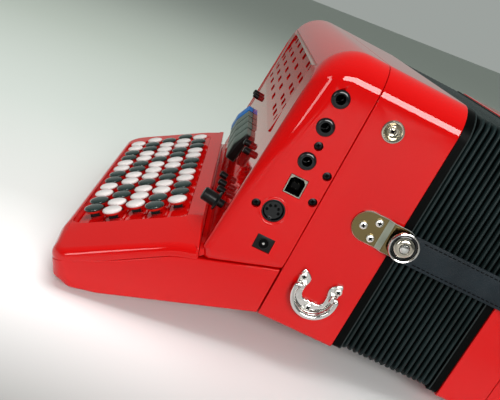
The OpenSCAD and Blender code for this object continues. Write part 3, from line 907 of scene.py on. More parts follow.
def keyboard_shell():
    outer = plan(*SHELL_S, *SHELF_Y, [12, 1.5, 3, 18], [31, 33.5, 60, 150, 240, 263, 267],
                 [266, 240, 150, 60, 47, 31])
    inner = plan(*RECESS_S, *RECESS_Y, [15, 3, 3, 12], [34.1, 36, 60, 150, 240, 262, 263.8],
                 [254, 240, 150, 60, 48, 46.2])
    normals = inward_normals(outer)
    inner_normals = inward_normals(inner)
    sizes = [edge_size(n) for n in normals]
    rings = []

    def ring(points, height):
        made = []
        for s, y in ((p[0], p[1]) for p in points):
            d = height(s, y)
            lean = 0.22 * max(0.0, 93.0 - d) * min(1.0, max(0.0, (s + 100) / 20))
            made.append(on_board(s - lean, y, d))
        return made

    rings.append(ring([p + n * 0.6 for p, n in zip(outer, normals)],
                      lambda s, y: along(SEAM_POINTS, s) + 0.1))
    rings.append(ring([p + n * 0.15 for p, n in zip(outer, normals)],
                      lambda s, y: along(SEAM_POINTS, s) + 0.25))
    rings.append(ring(outer, lambda s, y: along(SEAM_POINTS, s) + 0.8))
    steps = 10
    for k in range(steps + 1):
        angle = math.pi / 2 * k / steps
        made = []
        for p, n, (run, drop) in zip(outer, normals, sizes):
            at = p + n * run * (1 - math.cos(angle))
            room = shell_top(at.x, at.y) - along(SEAM_POINTS, at.x) - 1.4
            d = shell_top(at.x, at.y) - min(drop, room) * (1 - math.sin(angle))
            made.append((at.x, at.y, d))
        heights = iter([m[2] for m in made])
        rings.append(ring([Vector(m[:2]) for m in made], lambda s, y: next(heights)))
    start = [p + n * (run + 0.05) for p, n, (run, _) in zip(outer, normals, sizes)]
    for t in (0.0, 0.25, 0.5, 0.75):
        rings.append(ring([a.lerp(b, t) for a, b in zip(start, inner)], shell_top))
    lip = 0.7
    for k in range(5):
        angle = math.pi / 2 * k / 4
        shift = -lip * (1 - math.sin(angle))
        drop = lip * (1 - math.cos(angle))
        rings.append(ring([p + n * shift for p, n in zip(inner, inner_normals)],
                          lambda s, y, drop=drop: max(shell_top(s, y) - drop, FLOOR_D - 0.5)))
    rings.append(ring(inner, lambda s, y: FLOOR_D - 1.5))
    return Shape(RED).loft(rings, caps=(False, False))


def pan_section(inset):
    """Section of the lower pan across the bellows, counter-clockwise."""
    right = SEAM_X - 0.7
    points = [(-194.8 + inset, -28.4), (-190 + inset, -39 + inset), (-180, -42.3 + inset),
              (-160, -36.3 + inset), (right - inset, 0.9 + inset),
              (right - inset, 35.2 - inset), (-115.7, 15.5 - inset), (-123.7, 12.4 - inset),
              (-151.9, -5.0 - inset), (-187.2, -25.5 - inset * 0.5)]
    return rounded(points, [0.8, 3.5, 6, 10, 0.8, 0.8, 4, 4, 8, 6], 5)


def keyboard_pan():
    """Lower pan of the shelf; its outer corners follow the shell's plan."""
    edge = 1.0
    steps = 4
    stations = []
    for k in range(steps + 1):
        angle = math.pi / 2 * k / steps
        stations.append((SHELF_Y[0] + edge * (1 - math.cos(angle)), edge * (1 - math.sin(angle))))
    stations += [(SHELF_Y[0] + 2.0 * k, 0.0) for k in range(1, 7)]
    stations += [(SHELF_Y[1] - 3.6 * k, 0.0) for k in range(5, 0, -1)]
    for k in range(steps, -1, -1):
        angle = math.pi / 2 * k / steps
        stations.append((SHELF_Y[1] - edge * (1 - math.cos(angle)), edge * (1 - math.sin(angle))))
    rings = []
    left, reach = -181.0, 40.0
    for y, inset in stations:
        near, back = y - SHELF_Y[0], SHELF_Y[1] - y
        pull = 0.0
        if near < 12:
            pull = 12 - math.sqrt(max(0.0, 12 ** 2 - (12 - near) ** 2))
        if back < 18:
            pull = 18 - math.sqrt(max(0.0, 18 ** 2 - (18 - back) ** 2))
        ring = []
        for x, z in pan_section(inset):
            at = Vector((x, 0, z))
            s = at.dot(BOARD_S)
            share = min(1.0, max(0.0, 1 - (s - left) / reach))
            at += BOARD_S * pull * share
            ring.append(Vector((at.x, y, at.z)))
        rings.append(ring)
    return Shape(RED).loft(rings)


def build_shelf():
    keyboard_shell().build("keyboard_shell_top", "treble_side", "red_lacquer",
                           ["keyboard_shell"], weighted=True)
    keyboard_pan().build("keyboard_pan_shell", "treble_side", "red_lacquer",
                         ["keyboard_pan"], sharp=40, weighted=True)
    NODES["button_bed"].data.materials.clear()
    NODES["button_bed"].data.materials.append(RED)
    seal = Shape(RED)
    seal.prism([on_board(s, SHELF_Y[0] + 2.5, d) for s, d in
                ((-80.5, 75.5), (-76.4, 76.4), (-75.4, 80.4), (-79.2, 80.4))],
               (0, SHELF_Y[1] - SHELF_Y[0] - 5.0, 0), 0, 0.4)
    seal.build("shelf_seal", "treble_side", "red_lacquer")
    pads = Shape(RUBBER)
    for pair in solids("shelf_pads"):
        centre = middle(pair)
        radius = 8.8
        up = TURN.transposed() @ Vector((0, 0, 1))
        foot = Vector((centre.x, centre.y, 0))
        foot = foot - up * ((LOCAL @ foot).z / MM)
        profile = [(0, 0.0), (radius - 1.2, 0.0), (radius - 0.3, 0.5), (radius, 1.4),
                   (radius, 6.0), (0, 6.0)]
        pads.lathe(profile, foot + up * 0.02, up, steps=40)
    pads.build("shelf_rubber_pads", "treble_side", "rubber_pad", ["shelf_pads"])


# ---------------------------------------------------------------- buttons

CAP = [(0, 0), (2.6, -0.10), (4.4, -0.34), (5.6, -0.70), (6.35, -1.12), (6.75, -1.62),
       (6.88, -2.1), (6.8, -2.55), (6.5, -2.95), (6.1, -3.2), (0, -3.25)]
SKIRT = [(0, -3.15), (6.0, -3.15), (6.15, -3.4), (6.0, -3.9), (5.6, -4.5), (5.2, -4.85),
         (0, -4.88)]


def treble_row(row, shade):
    """Caps as one piece and skirts with stems as another, both on the row's body."""
    name = "row%d_%s" % (row, shade)
    caps = Shape(BLACK_CAP if shade == "black" else WHITE_CAP)
    skirts = Shape(RED_SKIRT, BLACK)
    for pair in solids(name):
        centre = middle(pair)
        s, y = centre.dot(BOARD_S), centre.y
        top = on_board(s, y, TOP_D)
        caps.lathe(CAP, top, BOARD_UP, steps=36)
        skirts.lathe(SKIRT, top, BOARD_UP, steps=28)
        stem = [on_board(s + a, y + b, TOP_D - 4.6) for a, b in
                ((-3.05, -1.25), (3.05, -1.25), (3.05, 1.25), (-3.05, 1.25))]
        skirts.prism(stem, BOARD_UP * -13.0, 1)
    caps.build(name + "_caps", name, shade + "_cap", [name], sharp=50)
    skirts.build(name + "_skirts", name, "red_lacquer", sharp=40)


def register_tab(index):
    """A tilting tab: a smooth wedge, thick towards the shelf and thin towards the grille."""
    name = "register_%d" % index
    centre = TABS[index - 1]
    shade = TAB_BLUE if index == 5 else TAB_GREY
    made = Shape(shade, BLACK)
    outline = rounded([(55.1, -3.8), (80.9, -3.8), (80.9, 0.5), (68, 4.7), (56.2, 4.1),
                       (55.1, 3.2)], [0, 0, 0.4, 3.0, 0.8, 0.6], 5)
    y0, y1 = centre.y - 10.2, centre.y + 10.2
    made.prism([on_side(u, y0, n) for u, n in outline], (0, y1 - y0, 0), 0, 0.7, 3)
    made.slots[-2:] = [1, 1]
    made.build(name + "_tab", name, "register_blue" if index == 5 else "register_grey", [name])


def small_button(shape, at):
    u, y = to_side(at)
    profile = [(0, 2.0), (1.5, 1.95), (2.2, 1.7), (2.55, 1.2), (2.6, 0.6), (2.6, -4), (0, -4)]
    shape.lathe(profile, on_side(u, y, 0), SIDE_OUT, steps=28)


def volume_knob():
    """Ribbed knob with a skirt flange and a pointer line."""
    u, y = to_side(KNOB)
    base = on_side(u, y, 0)
    made = Shape(BLACK, WHITE_CAP)
    made.lathe([(0, -4), (2.9, -4), (2.9, 0.35), (6.5, 0.35), (6.85, 0.6), (6.9, 1.1), (6.6, 1.55),
                (5.6, 1.75), (5.0, 1.95), (4.7, 2.4), (4.5, 11.0), (4.3, 11.6), (3.8, 11.95),
                (0, 12.0)], base, SIDE_OUT, steps=48)
    for k in range(20):
        angle = 2 * math.pi * k / 20
        ray = SIDE_UP * math.cos(angle) + Vector((0, 1, 0)) * math.sin(angle)
        across = SIDE_UP * -math.sin(angle) + Vector((0, 1, 0)) * math.cos(angle)
        foot = base + SIDE_OUT * 2.8 + ray * 4.4
        rib = [foot - across * 0.22, foot + across * 0.22, foot + ray * 0.28 + across * 0.12,
               foot + ray * 0.28 - across * 0.12]
        made.prism(rib, SIDE_OUT * 8.3)
    pointer = base + SIDE_OUT * 11.75
    line = [pointer + SIDE_UP * 0.8 - Vector((0, 0.3, 0)), pointer + SIDE_UP * 2.9
            - Vector((0, 0.3, 0)), pointer + SIDE_UP * 2.9 + Vector((0, 0.3, 0)),
            pointer + SIDE_UP * 0.8 + Vector((0, 0.3, 0))]
    made.prism(line, SIDE_OUT * 0.3, 1)
    made.build("volume_knob_turned", "volume_knob", "black_plastic", ["volume_knob"], sharp=30)


def grille():
    """Grille plate with five slanting rows of holes, narrow at the ends."""
    made = Shape(RED)
    made.prism(side_plate(GRILLE_U[0] + 0.1, GRILLE_U[1] - 0.1, GRILLE_Y[0] + 0.1,
                          GRILLE_Y[1] - 0.1, 3.9, -4.0), SIDE_OUT * 2.8)
    plate = made.build("treble_grille_plate", "treble_side", "red_lacquer", ["treble_grille"])
    cutter = Shape(RED)
    holes = [(49, 5), (66.5, 11), (87, 12), (132, 15), (172, 15), (212, 15), (247, 12),
             (266, 11), (283, 5)]
    for column in range(5):
        u = 113.1 + 9.9 * column
        for y, width in holes:
            y -= 5.0 * column + width / 2
            if y > GRILLE_Y[0] + 2:
                cutter.prism(side_plate(u, u + 4.8, y, y + width, 1.0, -7, 4), SIDE_OUT * 10)
    cut(plate, cutter, soften=0.35)
    mesh = Shape(BLACK)
    mesh.prism(side_plate(GRILLE_U[0] + 1, GRILLE_U[1] - 1, GRILLE_Y[0] + 1, GRILLE_Y[1] - 1,
                          3.0, -4.7), SIDE_OUT * 0.5)
    mesh.build("grille_backing", "treble_side", "speaker_grey")


def bass_row(index):
    name = "bass_row_%d" % index
    made = Shape(BLACK)
    profile = [(0, 6.2), (1.6, 6.15), (2.9, 5.9), (3.7, 5.4), (4.1, 4.7), (4.15, 3.8),
               (4.15, -7), (0, -7)]
    for at in BASS_BUTTONS[index]:
        t, y = to_bass(at)
        made.lathe(profile, on_bass(t, y, 0), BASS_OUT, steps=24)
    made.build(name + "_caps", name, "black_plastic", [name])


def build_controls():
    for row in range(1, 6):
        treble_row(row, "black")
        treble_row(row, "white")
    for index in range(1, 6):
        register_tab(index)
    for name, places in (("low_presets", LOW_PRESETS), ("high_presets", HIGH_PRESETS)):
        made = Shape(BLACK)
        for at in places:
            small_button(made, at)
        made.build(name + "_caps", name, "black_plastic", [name])
    volume_knob()
    grille()
    for index in range(1, 7):
        bass_row(index)
    air = Shape(BLACK)
    air.lathe([(0, 5.8), (4.5, 5.7), (6.2, 5.2), (6.9, 4.2), (7.0, 3.0), (7.0, -6), (0, -6)],
              (END_X, AIR.y, AIR.z), (1, 0, 0), steps=40)
    air.build("air_button_cap", "air_button", "black_plastic", ["air_button"])


# ---------------------------------------------------------------- sockets and screws

NEAR = Vector((0, -1, 0))


def cross_screw(shape, at, radius, height, slot=0, turn=0.4, cross_shade_slot=1):
    """Domed screw head on a face that looks along -y, with a dark cross laid on its top: painted
    shade in place of a cut cross.
    """
    shape.lathe([(0, height * 0.62), (radius * 0.32, height * 0.62), (radius * 0.4, height),
                 (radius * 0.72, height * 0.9), (radius * 0.93, height * 0.6), (radius, 0.15),
                 (radius, -1.0), (0, -1.0)], at, NEAR, slot, 28)
    for k in range(2):
        angle = turn + math.pi / 2 * k
        lengthways = Vector((math.cos(angle), 0, math.sin(angle))) * radius * 0.55
        across = Vector((-math.sin(angle), 0, math.cos(angle))) * 0.16 * radius
        top = Vector(at) + NEAR * (height * 1.01)
        bar = [top - lengthways - across, top + lengthways - across,
               top + lengthways + across, top - lengthways + across]
        # Each bar is laid on the head in the dark slot: painted shade of the cross.
        shape.prism(bar, NEAR * -0.25, cross_shade_slot)


def sockets():
    for index, pair in enumerate(JACKS):
        at = middle(pair)
        made = Shape(BLACK_GLOSS, BLACK_AND_HOLE_SHADE, NICKEL)
        centre = (at.x, 0, at.z)
        made.lathe([(3.25, 1.2), (4.0, 1.2), (5.0, 1.05), (5.6, 0.6), (5.82, 0.0), (5.82, -6),
                    (6.9, -6), (6.9, -15.8), (0, -15.8), (0, -14.6)], centre, NEAR, 0, 48)
        made.lathe([(3.25, 1.2), (3.2, 0.9), (3.2, -13.9), (0, -14)], centre, NEAR, 1, 48)
        made.lathe([(3.19, -9.2), (2.7, -9.4), (2.7, -10.4), (3.19, -10.6)], centre, NEAR, 0, 48)
        made.build("jack_%d" % (index + 1), "treble_side", "black_gloss",
                   ["jack_collars"] if index == 0 else ())
    usb_socket()
    midi_socket()
    dc_inlet()
    screws = Shape(BLACK_STEEL, BLACK_AND_HOLE_SHADE)
    for at in NEAR_SCREWS:
        cross_screw(screws, (at.x, 2.6, at.z), 2.75, 0.8, 0, 0.5)
    screws.join(screws.mirrored())
    screws.build("case_screw_heads", "treble_side", "black_steel", ["case_screws"])


def usb_socket():
    made = Shape(NICKEL, BLACK_AND_HOLE_SHADE, WHITE_CAP)
    half_x, half_z = 5.9, 6.4
    hole_x, hole_z = 5.15, 5.65

    def ring(hx, hz, y, chamfer):
        points = [(-hx, -hz), (hx, -hz), (hx, hz - chamfer), (hx - chamfer, hz),
                  (-hx + chamfer, hz), (-hx, hz - chamfer)]
        return [Vector((USB.x + a, y, USB.z + b)) for a, b in points]

    made.loft([ring(half_x, half_z, 15.9, 0.1), ring(half_x, half_z, 0.35, 0.1),
               ring(half_x - 0.2, half_z - 0.2, 0.02, 0.2),
               ring(hole_x, hole_z, 0.1, 2.2), ring(hole_x - 0.1, hole_z - 0.1, 2.0, 2.2)],
              0, caps=(False, False))
    # Inner walls and the tongue in the near-black: painted shade inside the opening.
    made.loft([ring(hole_x - 0.1, hole_z - 0.1, 2.0, 2.2), ring(hole_x - 0.1, hole_z - 0.1, 11.9,
                                                               2.2)], 1, caps=(False, True))
    made.box((USB.x - 2.8, 1.2, USB.z - 1.7), (USB.x + 2.8, 12, USB.z + 1.7), 1, 0.3)
    for a in (-1.3, 1.3):
        for b in (-1.75, 1.75):
            made.box((USB.x + a - 0.4, 2.0, USB.z + b - 0.12),
                     (USB.x + a + 0.4, 9, USB.z + b + 0.12), 0)
    made.build("usb_socket_shell", "treble_side", "nickel", ["usb_socket"])


def midi_socket():
    made = Shape(BLACK_GLOSS, BLACK_AND_HOLE_SHADE, NICKEL)
    centre = (MIDI.x, 0, MIDI.z)
    made.lathe([(0, -13.8), (7.45, -13.8), (7.45, -0.5), (7.2, -0.42), (6.7, -0.5), (6.55, -0.9),
                (6.55, -9.5), (6.05, -9.5), (6.0, -2.3), (5.8, -2.0), (0, -2.0)],
               centre, NEAR, 0, 56)
    # Five pin holes as dark discs with glossy rims: painted shade in place of holes.
    for k in range(5):
        angle = math.pi * k / 4
        at = (MIDI.x + 4 * math.cos(angle), 1.95, MIDI.z - 1.0 + 4 * math.sin(angle))
        made.lathe([(0, 0.02), (0.8, 0.02), (0.85, -0.3), (0, -0.3)], at, NEAR, 1, 16)
        made.lathe([(0.8, 0.0), (0.95, 0.12), (1.1, 0.0)], at, NEAR, 0, 16)
    made.box((MIDI.x - 1.3, 0.6, MIDI.z - 6.5), (MIDI.x + 1.3, 2.4, MIDI.z - 4.9), 0, 0.2)
    made.build("midi_socket_body", "treble_side", "black_gloss", ["midi_socket"])
    ring = Shape(RED)
    ring.lathe([(8.6, -0.4), (8.75, 0.12), (9.0, 0.22), (9.25, 0.12), (9.4, -0.4)],
               centre, NEAR, 0, 64)
    ring.build("midi_embossed_ring", "treble_side", "red_lacquer")


def dc_inlet():
    made = Shape(BLACK, BLACK_AND_HOLE_SHADE, CHROME)
    x0, x1, z0, z1 = DC.x - 5.95, DC.x + 5.95, DC.z - 4.95, DC.z + 4.95
    made.box((x0, 0.25, z0), (x1, 13.9, z1), 0, 0.35)
    centre = (DC.x, 0.2, DC.z)
    made.lathe([(3.75, 0.0), (3.6, 0.3), (3.25, 0.3), (3.1, 0.0), (3.1, -0.6)], centre, NEAR, 0,
               40)
    # Flat near-black disc across the opening: painted shade in place of a hole.
    made.lathe([(3.1, 0.05), (0, 0.06)], centre, NEAR, 1, 40)
    made.lathe([(0, 0.75), (0.7, 0.7), (1.0, 0.35), (1.0, -1.0), (0, -1.0)], centre, NEAR, 2, 24)
    made.build("dc_inlet_body", "treble_side", "black_gloss", ["dc_inlet"])


# ---------------------------------------------------------------- chrome hardware

LOOP = extent("strap_loop_near")
LOOP_X = (LOOP[0].x + LOOP[1].x) / 2
LOOP_HALF = (LOOP[1].x - LOOP[0].x) / 2 - 2.0
PIVOT = TURN.transposed() @ Vector(JOINTS["strap_loop_near_swing"]["pos_m"]) / MM - ORIGIN
BRACKET = Vector((LOOP_X, 0, 31.0))


def both_ends(shape, name, slot, replaces=(), body="treble_side", sharp=35.0, weighted=False):
    shape.join(shape.mirrored())
    return shape.build(name, body, slot, replaces, sharp, weighted=weighted)


def crescent():
    """Outline of the strap bracket's plate: horn tips, wavy inside edge and a cusp."""
    half = [(0.0, -6.0), (1.6, -5.2), (3.4, -5.9), (5.8, -5.4), (7.2, -4.0), (7.9, -1.6),
            (8.0, 0.6), (7.6, 3.0), (6.9, 5.2), (6.6, 7.2), (7.2, 9.2), (8.8, 11.0),
            (11.0, 12.4), (13.9, 13.6), (14.9, 11.2), (15.0, 8.0), (14.6, 4.0), (13.8, 0.0),
            (12.8, -4.0), (11.0, -7.8), (8.6, -10.8), (5.8, -12.8), (2.8, -13.8), (0.0, -14.1)]
    left = [(-x, z) for x, z in reversed(half[1:-1])]
    return [Vector((BRACKET.x + x, 0, BRACKET.z + z)) for x, z in half + left]


def bracket_plates():
    """Strap brackets: the crescent and the two eyes that hold the loop."""
    plate = Shape(CHROME)
    plate.prism(crescent(), NEAR * 2.4, 0, 0.8, 4)
    for side in (-1, 1):
        x = LOOP_X + side * (LOOP_HALF - 3.7)
        plate.prism([Vector((x - 1.3, -2.0, PIVOT.z - 2.3)), Vector((x + 1.3, -2.0, PIVOT.z - 2.3)),
                     Vector((x + 1.3, -2.0, PIVOT.z + 2.3)),
                     Vector((x - 1.3, -2.0, PIVOT.z + 2.3))], NEAR * 5.2, 0, 0.8, 3)
    both_ends(plate, "strap_bracket_plates", "chrome", ["strap_plates"])


def strap_loops():
    """Bent rods that hang in the brackets' eyes."""
    ends = [(5.0, 0.0), (2.5, 0.0), (0.5, 0.0), (0.0, -0.8), (0.0, -2.4)]
    for end in ("near", "far"):
        path = [(LOOP_X - LOOP_HALF + x, PIVOT.y, PIVOT.z + z) for x, z in ends]
        for k in range(25):
            angle = math.pi + math.pi * k / 24
            path.append((LOOP_X + LOOP_HALF * math.cos(angle), PIVOT.y,
                         PIVOT.z - 4 + LOOP_HALF * math.sin(angle)))
        path += [(LOOP_X + LOOP_HALF - x, PIVOT.y, PIVOT.z + z) for x, z in reversed(ends)]
        thick = [1.45, 1.45, 1.5, 1.8] + [1.95] * (len(path) - 8) + [1.8, 1.5, 1.45, 1.45]
        loop = Shape(CHROME).tube(path, thick, 0, 16)
        if end == "far":
            loop = loop.mirrored()
        loop.build("strap_loop_%s_rod" % end, "strap_loop_" + end, "chrome",
                   ["strap_loop_" + end], sharp=60)


def clasps_and_screws():
    # Clasp plate in darkened chrome with a painted dark reflection, and painted highlights on its
    # chamfers and bend.
    clasp = Shape(PLATE_PAINTED_REFLECTION, CHROME, RIM_HIGHLIGHT_AND_SCREW_PLATING, BEND_PAINTED_HIGHLIGHT)
    clasp_plate(clasp)
    both_ends(clasp, "clasp_plate_pair", "chrome", ["clasp_plates"])

    screws = Shape(RIM_HIGHLIGHT_AND_SCREW_PLATING, BLACK_STEEL)
    for number, pair in enumerate(p for p in solids("plate_screws") if p[0].y < 0):
        at = middle(pair)
        cross_screw(screws, (at.x, pair[1].y - 0.2, at.z), 2.7, 1.5, 0, 0.3 + number)
    both_ends(screws, "plate_screw_heads", "chrome", ["plate_screws"])


def screw_cups():
    cup = Shape(CUP_PLATING, BLACK_AND_HOLE_SHADE)
    cup.lathe([(7.3, -0.2), (7.35, 0.4), (7.2, 0.95), (6.8, 1.3), (6.3, 1.35), (5.8, 1.05),
               (5.35, 0.35), (4.9, -0.7), (4.3, -1.7), (3.5, -2.4), (2.9, -2.7), (0, -2.8)],
              (CUP.x, 0, CUP.z), NEAR, 0, 56)
    cross_screw(cup, (CUP.x, 2.7, CUP.z), 2.7, 1.5, 0, 0.9)
    both_ends(cup, "screw_cup_pair", "chrome", ["screw_cups"])


CLASP = solids("clasp_plates")[0]
CLASP_Z = (CLASP[0].z + CLASP[1].z) / 2
CLASP_HALF = (CLASP[1].z - CLASP[0].z) / 2
CAP_BOX = extent("snap_cap_near")
SNAP_X = (CAP_BOX[0].x + CAP_BOX[1].x) / 2


def clasp_plate(shape):
    """Pressed plate: rounded left end on the casing, a step out and a round right end."""
    x0, x1 = CLASP[0].x, CLASP[1].x
    stations = [x0 + CLASP_HALF * (1 - math.cos(math.radians(a))) for a in range(0, 91, 9)]
    stations += [-20.0, -14.5, -13.6, -13.0, -12.4, -11.6, -10.4, -9.4, -8.8, -8.2, -7.4, -4.0]
    stations += [x1 - CLASP_HALF * (1 - math.cos(math.radians(a))) for a in range(90, -1, -9)]

    def rise(x):
        """Distance of the plate's back from the casing."""
        t = min(1.0, max(0.0, (x + 13.3) / 4.8))
        return 3.0 * (t + 0.35 * t * (1 - t) * (2 * t - 1) * 2)

    def half_width(x):
        left = x0 + CLASP_HALF - x
        right = x - (x1 - CLASP_HALF)
        reach = max(left, right, 0.0)
        return math.sqrt(max(0.0, CLASP_HALF ** 2 - reach ** 2))

    rings = []
    thick = 1.5
    for x in stations:
        wide = max(half_width(x), 0.05)
        back, front = -rise(x), -rise(x) - thick
        edge = min(0.35, wide * 0.5)
        rings.append([Vector((x, back, CLASP_Z - wide)), Vector((x, back, CLASP_Z + wide)),
                      Vector((x, front + edge, CLASP_Z + wide)),
                      Vector((x, front, CLASP_Z + wide - edge)),
                      Vector((x, front, CLASP_Z - wide + edge)),
                      Vector((x, front + edge, CLASP_Z - wide))])
    base = len(shape.slots)
    shape.loft(rings, 0)
    for k in range(len(rings) - 1):
        # Both chamfers take the pale plating: a painted highlight.
        shape.slots[base + 6 * k + 2] = 2
        shape.slots[base + 6 * k + 4] = 2
        # Front faces across the bend take the pale bend colour: a painted highlight.
        if -13.1 < stations[k] < -9.5:
            shape.slots[base + 6 * k + 3] = 3
    shape.lathe([(0, 3.7), (2.6, 3.6), (3.15, 3.1), (3.15, 2.2), (2.6, 1.2), (2.6, -0.2),
                 (0, -0.2)], (SNAP_X, -4.4, CLASP_Z), NEAR, 1, 32)


# ---------------------------------------------------------------- bellows strap

HINGE = TURN.transposed() @ Vector(JOINTS["bellows_strap_near_open"]["pos_m"]) / MM - ORIGIN
STRAP_HALF = 9.9
STRAP_OUT = 8.4
STRAP_IN = 6.25


def strap_leather():
    """Leather band with slightly sunk rims, wrapped round its hinge and slotted at the snap."""
    made = Shape(LEATHER)
    radius = 8.5
    slot_half = 3.75

    def section(x, z0, z1):
        points = []
        count = 8
        for k in range(count + 1):
            t = k / count
            z = z0 + (z1 - z0) * t
            rim = 1 - (2 * t - 1) ** 4
            points.append(Vector((x, -STRAP_OUT + 0.35 - 0.33 * rim, z)))
        for k in range(count, -1, -1):
            t = k / count
            points.append(Vector((x, -STRAP_IN - (0.12 if k in (0, count) else 0.0),
                                  z0 + (z1 - z0) * t)))
        return points

    stations = [SNAP_X + 4.2, SNAP_X + 6.5, SNAP_X + 8.5] + [
        SNAP_X + 12 + 4 * k for k in range(int((HINGE.x - 3 - SNAP_X - 12) / 4) + 1)]
    rings = [section(x, CLASP_Z - STRAP_HALF, CLASP_Z + STRAP_HALF) for x in stations]
    for k in range(11):
        angle = math.radians(-90 + 20 * k)
        outer_r, inner_r = 3.35, 1.65
        outer = HINGE + Vector((math.cos(angle), math.sin(angle), 0)) * outer_r
        inner = HINGE + Vector((math.cos(angle), math.sin(angle), 0)) * inner_r
        heights = [CLASP_Z - STRAP_HALF + 2 * STRAP_HALF * i / 8 for i in range(9)]
        ring = [Vector((outer.x, outer.y, z)) for z in heights]
        ring += [Vector((inner.x, inner.y, z)) for z in reversed(heights)]
        rings.append(ring)
    made.loft(rings)
    tongue_top = [(SNAP_X - 7.5, CLASP_Z + slot_half)]
    arc_top = [(SNAP_X + radius * math.cos(math.radians(a)),
                CLASP_Z + radius * math.sin(math.radians(a))) for a in range(150, 59, -15)]
    tongue = [(SNAP_X + 4.4, CLASP_Z + STRAP_HALF - 0.8)]
    upper = ([(SNAP_X + 0.3, CLASP_Z + slot_half)] + tongue_top + arc_top + tongue
             + [(SNAP_X + 4.4, CLASP_Z + slot_half)])
    for sign in (1, -1):
        flat = [(x, CLASP_Z + sign * (z - CLASP_Z)) for x, z in upper]
        made.prism([Vector((x, -STRAP_IN, z)) for x, z in flat],
                   NEAR * (STRAP_OUT - STRAP_IN - 0.1))
    return made


def stitches(shape, half, x0, x1, pitch=3.4, length=2.1, slot=0):
    """Two rows of short stitches, slightly sunk into the leather."""
    count = int((x1 - x0) / pitch)
    for side in (-1, 1):
        z = CLASP_Z + side * half
        for k in range(count):
            a = x0 + k * pitch
            path = [(a, -STRAP_OUT + 0.18, z), (a + length * 0.25, -STRAP_OUT - 0.07, z),
                    (a + length * 0.5, -STRAP_OUT - 0.12, z),
                    (a + length * 0.75, -STRAP_OUT - 0.07, z), (a + length, -STRAP_OUT + 0.18, z)]
            shape.tube(path, 0.36, slot, 6)


def snap_cap():
    """Polished snap: rolled rim, groove, dome and a small rivet; the groove and the ring at the
    rivet's foot are black gloss, painted shade.
    """
    made = Shape(CHROME, BLACK_GLOSS, CUP_PLATING)
    at = (SNAP_X, -STRAP_OUT, CLASP_Z)
    made.lathe([(0, 0.0), (9.5, 0.0), (10.05, 0.25), (10.2, 0.8), (10.15, 1.5), (9.8, 2.1),
                (9.3, 2.3), (8.85, 2.15), (8.6, 1.75)], at, NEAR, 0, 64)
    # Groove in black gloss: painted shade.
    made.lathe([(8.6, 1.75), (8.3, 1.1), (7.6, 0.95), (7.1, 1.1)], at, NEAR, 1, 64)
    made.lathe([(7.1, 1.1), (6.8, 1.7), (6.2, 2.35), (5.4, 2.85), (4.4, 3.15), (3.6, 3.2),
                (3.3, 3.0)], at, NEAR, 2, 64)
    # Ring at the rivet's foot in black gloss: painted shade.
    made.lathe([(3.3, 3.0), (3.0, 3.0)], at, NEAR, 1, 64)
    made.lathe([(3.0, 3.0), (2.9, 3.5), (2.4, 4.0), (1.4, 4.25), (0, 4.3)], at, NEAR, 0, 64)
    return made


def anchor():
    """Plate and lugs that hold the strap's hinge pin on the bass casing."""
    made = Shape(CHROME, BLACK_AND_HOLE_SHADE)
    x0, x1 = HINGE.x + 4.0, HINGE.x + 22.0
    outline = rounded([(x0, CLASP_Z - 13), (x1, CLASP_Z - 13), (x1, CLASP_Z + 13),
                       (x0, CLASP_Z + 13)], [0.5, 6, 6, 0.5], 8)
    made.prism([Vector((x, 0, z)) for x, z in outline], NEAR * 1.5, 0, 0.4, 3)
    for z in (CLASP_Z - 13, CLASP_Z + 10.5):
        lug = rounded([(HINGE.x - 3, 0), (HINGE.x + 6, 0), (HINGE.x + 6, -2.0),
                       (HINGE.x + 3, -8), (HINGE.x - 3, -8)], [0, 0, 1.5, 2.6, 2.8], 6)
        made.prism([Vector((x, y, z)) for x, y in lug], (0, 0, 2.5), 0, 0.3, 2)
    made.lathe([(0, -13.2), (1.2, -13.2), (1.5, -12.9), (1.5, 12.9), (1.2, 13.2), (0, 13.2)],
               (HINGE.x, HINGE.y, CLASP_Z), (0, 0, 1), 0, 24)
    for z in (-6.5, 6.5):
        cross_screw(made, (x1 - 6, -1.4, CLASP_Z + z), 2.2, 1.2, 0, z)
    return made


def build_straps():
    both_ends(anchor(), "strap_anchor_pair", "chrome", ["strap_anchors"], body="bass_side")
    for end in ("near", "far"):
        body = "bellows_strap_" + end
        band = strap_leather()
        seams = Shape(THREAD)
        stitches(seams, STRAP_HALF - 2.1, SNAP_X + 11, HINGE.x - 5)
        cap = snap_cap()
        if end == "far":
            band, seams, cap = band.mirrored(), seams.mirrored(), cap.mirrored()
        band.build("strap_%s_leather" % end, body, "leather", [body])
        seams.build("strap_%s_stitches" % end, body, "leather")
        cap.build("snap_%s_cap" % end, body, "chrome", ["snap_cap_" + end], sharp=28)


# ---------------------------------------------------------------- bellows

FOLD_X = (extent("bellows_folds")[0].x, extent("bellows_folds")[1].x)
FRAME_W = extent("treble_frame")[1].x - FRAME_X
FOLDS = 16
FOLD_TOP = 1.6
FOLD_DEEP = 7.4


def fold_rings():
    """One ring per point of the pleat profile, for every fold."""
    pitch = (FOLD_X[1] - FOLD_X[0]) / FOLDS
    profile = [(0.0, 1.0), (0.09, 0.72), (0.18, 0.32), (0.27, 0.1), (0.38, 0.02), (0.5, 0.0),
               (0.62, 0.02), (0.73, 0.1), (0.82, 0.32), (0.91, 0.72)]
    rings = []
    for fold in range(FOLDS):
        for t, sink in profile:
            inset = FOLD_TOP + (FOLD_DEEP - FOLD_TOP) * sink
            x = FOLD_X[0] + (fold + t) * pitch
            corner = 3.0 + 3.0 * (1 - sink)
            rings.append(ring_outline(x, 0, DEPTH, inset, corner, corner, steps=6))
    rings.append(ring_outline(FOLD_X[1], 0, DEPTH, FOLD_DEEP, 3.0, 3.0, steps=6))
    return rings


